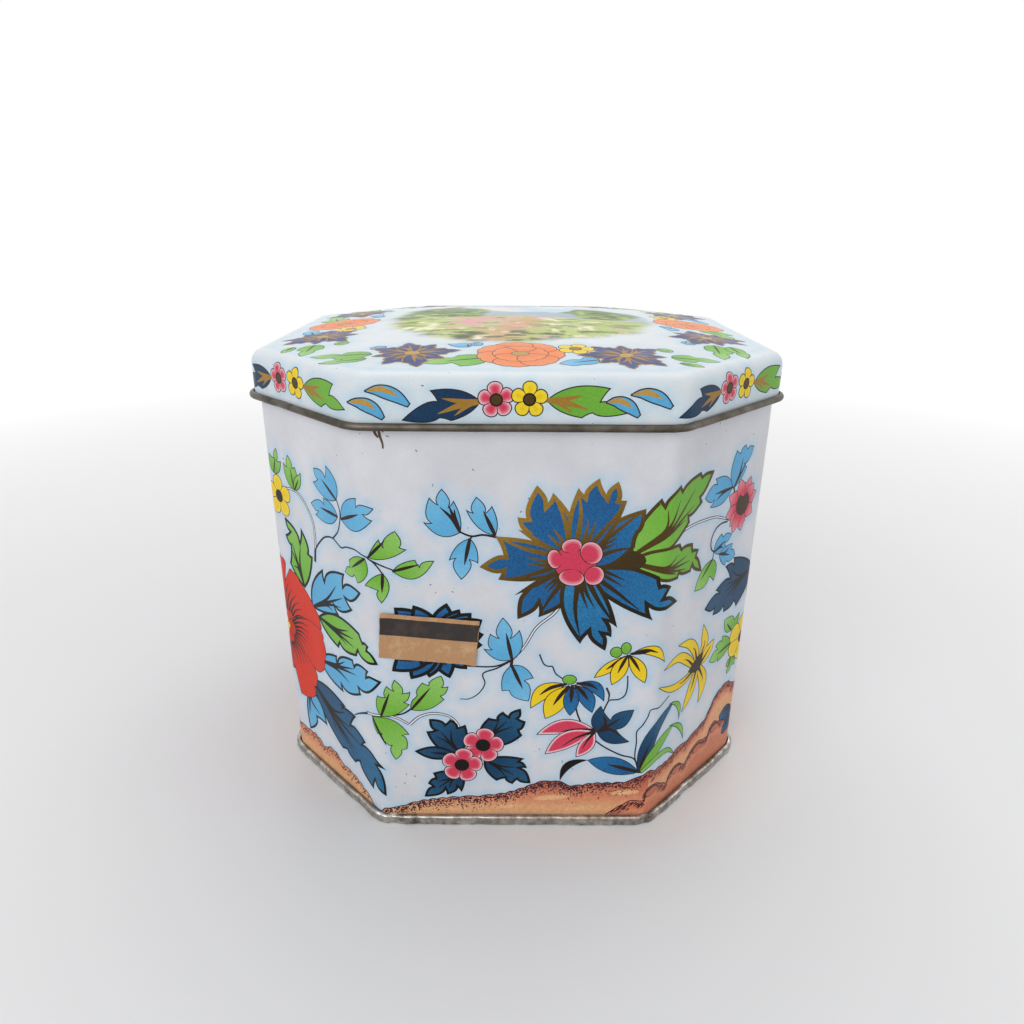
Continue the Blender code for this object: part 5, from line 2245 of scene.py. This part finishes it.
@dataclass
class BaseEnd:
    """The base: a sunk panel and the double seam round the wall's foot, pinched by its rollers."""
    finishes: Finishes
    panel: float = 3.025
    seam_top: float = 2.475
    step: float = 0.7
    pitch: float = 0.5
    bend: float = 0.38
    panel_bend: float = 0.45
    seed: int = 11
    dents: int = 110

    def build(self) -> None:
        """Build the base and put it in place of its CAD node."""
        half = PLAN.sheet / 2
        chuck, wall = -half - self.pitch, -half + 3 * self.pitch
        hook = -half + self.pitch
        turn, low_turn = self.bend, self.panel_bend
        line = np.concatenate([
            arc((hook + turn, self.seam_top - turn), turn, 180, -90, 4)[:1] + np.array([0, -1.0]),
            arc((hook + turn, self.seam_top - turn), turn, 180, -90, 5),
            arc((wall - turn, self.seam_top - turn), turn, 90, -90, 5),
            arc((wall - turn, half + turn), turn, 0, -90, 5),
            arc((chuck + turn, half + turn), turn, -90, -90, 5),
            arc((chuck - low_turn, self.panel - low_turn), low_turn, 0, 90, 5)])
        normal = -right_of(line)
        along = PLAN.columns()
        push = np.maximum(0.0, nicks(along, self.seed, self.dents, 0.26, 0.9) + 0.05
                          + lump(along, ((19, 0.03, 0.2), (43, 0.03, 2.0), (61, 0.03, 0.7))))

        def rings(side: float) -> list[Points]:
            """The rings of one face of the sheet.

            Args:
                side: 1 for its underside and -1 for its upper side.

            Returns:
                The rings, from the wall to the middle.
            """
            found = []
            for (out, height), (nx, nz) in zip(line, normal):
                hold = smoothstep(out, 0.2, 1.0)
                spot, _ = PLAN.at(along, out + side * nx * half - push * hold)
                rise = height + side * nz * half
                droop = -0.5 * push * hold * smoothstep(rise, 0.9, 2.0)
                found.append(np.column_stack([spot, rise + droop]))
            rim = found[-1]
            for share, up in ((0.97, 0), (0.93, 0), (0.885, 0), (0.875, 0.3), (0.865, 0.62), (0.85, 0.7),
                              (0.7, 0.7), (0.5, 0.7), (0.3, 0.7), (0.1, 0.7)):
                found.append(np.column_stack([rim[:, :2] * share, rim[:, 2] + up * self.step / 0.7]))
            return found

        under, over = rings(1.0), rings(-1.0)
        whole = under + over[::-1]
        verts, faces, _ = Shell(whole, [Side.PRINTED] * len(whole), len(under) - 1).build()
        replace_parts(new_piece("base_end_seamed", verts, faces, "tin_body", [self.finishes.bright]),
                    "base_end")


@dataclass
class Picture:
    """A soft garden view painted on the lid's top: sky, hills, trees, a meadow and blossom. No figures."""
    reach: float = 37.0
    seed: int = 7

    def lumps(self, spots: Points, size: float, seed: int) -> Points:
        """Smooth noise between 0 and 1.

        Args:
            spots: Points of the plan.
            size: Size of the largest lumps.
            seed: Seed of the random draws.

        Returns:
            The noise at each point.
        """
        total, weight = np.zeros(len(spots)), 0.0
        for octave in range(4):
            rng = np.random.default_rng(seed + octave)
            cell = size / 2 ** octave
            table = rng.random((97, 97))
            place = spots / cell + 40.0
            low = np.floor(place).astype(int)
            part = place - low
            part = part * part * (3 - 2 * part)
            i, j = low[:, 0] % 96, low[:, 1] % 96
            a = table[i, j] * (1 - part[:, 0]) + table[i + 1, j] * part[:, 0]
            b = table[i, j + 1] * (1 - part[:, 0]) + table[i + 1, j + 1] * part[:, 0]
            total += (a * (1 - part[:, 1]) + b * part[:, 1]) / 2 ** octave
            weight += 1 / 2 ** octave
        return total / weight

    def colours(self, spots: Points) -> Points:
        """Linear colours of the picture at points of the plan.

        Args:
            spots: Points of the plan.

        Returns:
            Red, green and blue at each point.
        """
        x, y = spots.T
        level = y / self.reach
        tone = {key: np.array(linear(code)[:3]) for key, code in (
            ("sky", "#B9DCEB"), ("cloud", "#F3E6DC"), ("hill", "#A9B6C4"), ("tree", "#5F7A3C"),
            ("shade", "#43512C"), ("leaf", "#A9BE5E"), ("grass", "#B9C873"), ("earth", "#CDA877"),
            ("bloom", "#E2A2A0"), ("pale", "#F4EBC8"))}

        def mix(under: Points, share: Points, key: str) -> Points:
            """Lay a tone over colours by a share."""
            return under + (tone[key] - under) * np.clip(share, 0, 1)[:, None]

        big, mid, fine = (self.lumps(spots, size, self.seed + 10 * k) for k, size in enumerate((22.0, 8.0, 3.0)))
        dab = self.lumps(spots * np.array([0.5, 1.2]), 2.2, self.seed + 50)
        colour = np.tile(tone["sky"], (len(spots), 1))
        colour = mix(colour, smoothstep(mid, 0.45, 0.75), "cloud")
        colour = mix(colour, smoothstep(0.32 + 0.5 * (big - 0.5) - level, -0.02, 0.05), "hill")
        canopy = np.exp(-((x + 21) / 15) ** 2) * 1.2 + np.exp(-((x - 24) / 12) ** 2) * 1.05
        crown = smoothstep(canopy + 0.6 * (mid - 0.5) - np.abs(level - 0.25) * 1.3, 0.35, 0.5)
        colour = mix(colour, crown, "tree")
        colour = mix(colour, crown * smoothstep(fine, 0.5, 0.68), "leaf")
        colour = mix(colour, crown * smoothstep(dab, 0.56, 0.7), "shade")
        ground = smoothstep(-0.05 + 0.35 * (big - 0.5) - level, -0.02, 0.06)
        colour = mix(colour, ground, "grass")
        colour = mix(colour, ground * smoothstep(dab, 0.5, 0.66) * 0.8, "tree")
        path = np.exp(-((x - 6 - 14 * level) / (3.5 - 5 * level)) ** 2)
        colour = mix(colour, ground * path, "earth")
        colour = mix(colour, ground * smoothstep(fine, 0.6, 0.72), "pale")
        colour = mix(colour, ground * smoothstep(mid * fine, 0.36, 0.44), "bloom")
        near = smoothstep(-0.55 - level + 0.5 * (mid - 0.5), 0.0, 0.2)
        return mix(colour, ground * near * smoothstep(dab, 0.4, 0.6), "shade")

    def share(self, spots: Points) -> Points:
        """How strongly the picture covers the ground: it fades out unevenly at its edge."""
        away = np.hypot(*spots.T) + 9.0 * (self.lumps(spots, 12.0, 90) - 0.5)
        return 1.0 - smoothstep(away, self.reach - 5.0, self.reach)


@dataclass
class Lid:
    """The lid: skirt, shoulder and crown in one sheet, with its border, its ring of flowers and its picture."""
    finishes: Finishes
    skirt: SkirtFace = SkirtFace()
    crown: CrownFace = CrownFace()
    shoulder_steps: int = 14
    skirt_rows: int = 8
    crown_rings: int = 66

    def stretches(self) -> tuple[Stretch, Stretch]:
        """The stretches of the skirt and of the crown.

        Returns:
            Both stretches.
        """
        half = PLAN.half_turn / 2
        straight = self.skirt.straight
        levels = tuple(straight + 0.35 * step for step in range(1, 12))
        around = Stretch(self.skirt, (-half, 0.0), (half, straight + 4.2), 2, PLAN.half_turn, 1.0,
                         PLAN.bend_lines(), levels)
        return around, Stretch(self.crown, (-60.0, -60.0), (60.0, 60.0), 1, 0.0, 1.0)

    def rings(self, lift: float, rows: int, crown_rings: int) -> tuple[list[Points], list[Points]]:
        """Rings from the foot of the skirt to near the middle of the crown, and their flat places.

        Args:
            lift: How far the rings stand off the sheet's outer face.
            rows: How many rings the skirt has.
            crown_rings: How many rings the crown has.

        Returns:
            The rings, and the flat places that they come from.
        """
        along = PLAN.columns()
        straight = self.skirt.straight
        radius = PLAN.shoulder + PLAN.sheet / 2
        bend = radius * (math.pi / 2 - PLAN.crown_slope)
        heights = np.concatenate([np.linspace(0, straight, rows, endpoint=False),
                                  np.linspace(straight, straight + bend, self.shoulder_steps + 1)])
        flats = [level_line(along, up) for up in heights]
        rings = [self.skirt.place(flat, lift) for flat in flats]
        rim = rings[-1]
        edge, _ = PLAN.at(along, np.full(len(along), self.crown.edge_out))
        reach = np.hypot(*edge.T)
        for share in np.linspace(1, 0.02, crown_rings + 1)[1:]:
            flat = edge * (share * (share + (1 - share) * PLAN.half_flats / reach))[:, None]
            height = self.crown.edge_height + PLAN.crown_rise * (1 - share ** 2) + PLAN.sheet / 2 + lift
            settle = smoothstep(share, 0.93, 1.0)
            height = height * (1 - settle) + (rim[:, 2] + (1 - share) * 60 * math.tan(PLAN.crown_slope)) * settle
            rings.append(np.column_stack([flat, height]))
            flats.append(flat)
        return rings, flats

    def build(self) -> None:
        """Build the sheet and print it."""
        around, top = self.stretches()
        border = press(skirt_border(), around)
        ring = press(crown_border(), top)
        rings, flats = self.rings(0.0, self.skirt_rows, self.crown_rings)
        inner, _ = self.rings(-PLAN.sheet, 3, 12)
        count = len(rings)
        whole = rings + inner[::-1]
        sides = [Side.PRINTED] * count + [Side.BARE] * len(inner)
        verts, faces, materials = Shell(whole, sides, count - 1).build()
        lid = new_piece("lid_sheet", verts, faces, "lid",
                        [self.finishes.lid, self.finishes.inside])
        set_sides(lid, materials)
        columns = len(rings[0])
        halo = np.zeros(len(verts))
        skirt_glow, crown_glow = Glow(border, around), Glow(ring, top)
        skirt_rings = self.skirt_rows + self.shoulder_steps + 1
        crown = np.zeros(len(verts), bool)
        for number, flat in enumerate(flats):
            here = slice(number * columns, (number + 1) * columns)
            if number < skirt_rings:
                halo[here] = 0.8 * skirt_glow.at(flat)
            else:
                line = math.exp(-((number - skirt_rings - 1.0) / 1.3) ** 2)
                halo[here] = np.maximum(0.8 * crown_glow.at(flat), 0.75 * line)
                crown[here] = True
        set_values(lid, "halo", halo)
        crown[len(whole) * columns] = True
        picture = Picture()
        spots = verts[:, :2]
        share = np.where(crown, picture.share(spots), 0.0)
        set_values(lid, "picture_share", share)
        layer = lid.data.attributes.new("picture", "FLOAT_COLOR", "POINT")
        layer.data.foreach_set("color", np.column_stack([picture.colours(spots), np.ones(len(spots))])
                               .astype(np.float32).ravel())
        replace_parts(lid, "lid_panel")
        print_art("skirt_print", border, around, "lid", self.finishes.inks)
        print_art("crown_print", ring, top, "lid", self.finishes.inks)


@dataclass
class PriceLabel:
    """A kraft paper price label stuck on the front, plain but for its dark band, with lifted worn edges."""
    finishes: Finishes
    across: float = -19.5
    up: float = 52.3
    width: float = 22.0
    height: float = 11.4
    turn: float = -5.0
    thickness: float = 0.12
    stand: float = 0.3
    seed: int = 3

    def sheet(self, name: str, low: float, high: float, lift: float, thickness: float, fray: float,
              material: bpy.types.Material) -> bpy.types.Object:
        """One layer of the label between two heights, given as shares of the label's own.

        Args:
            name: Name of the piece.
            low: Where the layer starts.
            high: Where it ends.
            lift: How far it stands off the label's back.
            thickness: Its thickness.
            fray: How far its edges wander.
            material: Its material.

        Returns:
            The piece.
        """
        across, rows = 67, max(3, int(34 * (high - low)))
        rng = np.random.default_rng(self.seed)
        wander = np.convolve(rng.normal(0, 1, across + rows + 20), np.ones(5) / 5, "same")
        u, v = np.meshgrid(np.linspace(-0.5, 0.5, across), np.linspace(low - 0.5, high - 0.5, rows))
        edge_x = 1 + fray * wander[:rows, None] / self.width * 2
        edge_y = 1 + fray * wander[rows:rows + across][None, :] / self.height * 1.2
        x, y = u * self.width * edge_x, v * self.height * edge_y
        curl = (0.35 * smoothstep(u, 0.36, 0.5) * smoothstep(-v, 0.1, 0.5) + 0.22 * smoothstep(-u, 0.4, 0.5)
                * smoothstep(v, 0.0, 0.5) + 0.05 * np.sin(7 * u) * np.cos(5 * v))
        flat = np.column_stack([x.ravel(), y.ravel()]) @ turning(self.turn).T + np.array([self.across, self.up])
        layers = []
        for level in (0.0, thickness):
            y_out = -PLAN.half_flats - self.stand - lift - level - curl.ravel()
            layers.append(np.column_stack([flat[:, 0], y_out, flat[:, 1]]))
        count = across * rows
        cell = (np.arange(rows - 1)[:, None] * across + np.arange(across - 1)).ravel()
        back = np.column_stack([cell, cell + across, cell + across + 1, cell + 1])
        front = back[:, ::-1] + count
        loop = np.concatenate(
            [np.arange(across), np.arange(1, rows) * across + across - 1,
             (rows - 1) * across + np.arange(across - 2, -1, -1), np.arange(rows - 2, 0, -1) * across])
        after = np.roll(loop, -1)
        rim = np.column_stack([loop, after, after + count, loop + count])
        faces = np.concatenate([back, front, rim]).tolist()
        return new_piece(name, np.concatenate(layers), faces, "tin_body", [material])

    def build(self) -> None:
        """Build the label and its band."""
        paper = self.sheet("price_label_paper", 0.0, 1.0, 0.0, self.thickness, 0.12, self.finishes.paper)
        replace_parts(paper, "price_label")
        self.sheet("price_label_band", 0.53, 0.91, self.thickness, 0.02, 0.12, self.finishes.band)


# Stage


@dataclass
class Studio:
    """Pale floor, soft light and the camera."""
    lens: float = 26.26
    eye: tuple[float, float, float] = (-1.1, -205.8, 140.1)
    down: float = 21.47
    yaw: float = 0.04
    roll: float = 0.32

    def camera(self) -> None:
        """Put the camera where the photograph was taken from."""
        data = bpy.data.cameras.new("camera")
        data.lens = self.lens
        data.clip_start, data.clip_end = 0.005, 50.0
        pitch, yaw, roll = (math.radians(angle) for angle in (self.down, self.yaw, self.roll))
        ahead = Vector((math.sin(yaw) * math.cos(pitch), math.cos(yaw) * math.cos(pitch), -math.sin(pitch)))
        level = Vector((math.cos(yaw), -math.sin(yaw), 0.0))
        above = level.cross(ahead)
        right = math.cos(roll) * level + math.sin(roll) * above
        up = -math.sin(roll) * level + math.cos(roll) * above
        camera = add_object("camera", data)
        facing = Matrix((right, up, -ahead)).transposed().to_4x4()
        camera.matrix_world = Matrix.Translation(Vector(self.eye) * MM) @ facing
        bpy.context.scene.camera = camera

    def lamp(self, name: str, place: Sequence[float], size: float, power: float,
             aim: Sequence[float] = (0, 0, 0.06)) -> None:
        """A square soft box that faces the tin. Places are in metres.

        Args:
            name: Its name.
            place: Where it stands.
            size: Length of its sides.
            power: Its power in watts.
            aim: What it points at.
        """
        data = bpy.data.lights.new(name, "AREA")
        data.shape, data.size, data.energy = "SQUARE", size, power
        lamp = add_object(name, data)
        lamp.location = place
        lamp.rotation_euler = (Vector(aim) - Vector(place)).to_track_quat("-Z", "Y").to_euler()

    def seen(self, tree: bpy.types.NodeTree) -> bpy.types.NodeSocket:
        """1 for the rays that see the plain white background: the camera's, and those it sees by.

        Args:
            tree: The node tree that asks.

        Returns:
            The output socket.
        """
        rays = add_node(tree, "LightPath").node.outputs
        straight = add_node(tree, "Math", {0: rays["Is Camera Ray"], 1: rays["Is Glossy Ray"]}, operation="MAXIMUM")
        return add_node(tree, "Math", {0: straight, 1: rays["Is Transmission Ray"]}, operation="MAXIMUM")

    def floor(self) -> None:
        """A pale floor that fades to plain white away from the tin."""
        mesh = bpy.data.meshes.new("floor")
        reach = 6.0
        mesh.from_pydata([(-reach, -reach, 0), (reach, -reach, 0), (reach, reach, 0), (-reach, reach, 0)],
                         [], [(0, 1, 2, 3)])
        material = bpy.data.materials.new("paper_backdrop")
        material.use_nodes = True
        tree = material.node_tree
        shader = tree.nodes["Principled BSDF"]
        shader.inputs["Base Color"].default_value = linear("#EBEBEC")
        shader.inputs["Roughness"].default_value = 0.9
        place = add_node(tree, "TexCoord", output="Object")
        away = add_node(tree, "VectorMath", {0: place}, "Value", operation="LENGTH")
        far = add_node(tree, "MapRange", {"Value": away, "From Min": 0.12, "From Max": 0.5})
        share = add_node(tree, "Math", {0: far, 1: self.seen(tree)}, operation="MULTIPLY")
        glow = add_node(tree, "Emission", {"Color": (1, 1, 1, 1), "Strength": 1.0})
        both = add_node(tree, "MixShader", {0: share, 1: shader.outputs[0], 2: glow})
        tree.links.new(both, tree.nodes["Material Output"].inputs["Surface"])
        mesh.materials.append(material)
        add_object("floor", mesh)

    def world(self) -> None:
        """Even pale light from all round, and plain white where the camera sees past the floor."""
        world = bpy.data.worlds.new("studio")
        bpy.context.scene.world = world
        world.use_nodes = True
        tree = world.node_tree
        soft = tree.nodes["Background"]
        soft.inputs["Color"].default_value = linear("#F4F4F5")
        soft.inputs["Strength"].default_value = 0.36
        plain = add_node(tree, "Background", {"Color": (1, 1, 1, 1), "Strength": 1.0})
        both = add_node(tree, "MixShader", {0: self.seen(tree), 1: soft.outputs[0], 2: plain})
        tree.links.new(both, tree.nodes["World Output"].inputs["Surface"])

    def build(self) -> None:
        """Set the whole stage."""
        self.camera()
        self.floor()
        self.world()
        self.lamp("overhead_soft_box", (0.05, 0.25, 0.75), 0.7, 3.2)
        self.lamp("front_soft_box", (-0.45, -0.75, 0.5), 0.8, 4.3)
        self.lamp("right_fill", (0.8, -0.25, 0.3), 0.6, 1.2)
        bpy.context.scene.view_settings.view_transform = "Standard"


def main() -> None:
    """Build the tin and its stage."""
    logging.basicConfig(level=logging.INFO, format="%(message)s")
    Studio().build()
    finishes = Finishes.make()
    Wall(finishes).build()
    BaseEnd(finishes).build()
    RolledEdges(finishes).build()
    Lid(finishes).build()
    PriceLabel(finishes).build()
    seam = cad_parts["side_lock_seam"]
    for place in seam.material_slots:
        place.material = finishes.inside
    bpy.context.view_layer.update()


if __name__ == "__main__":
    main()
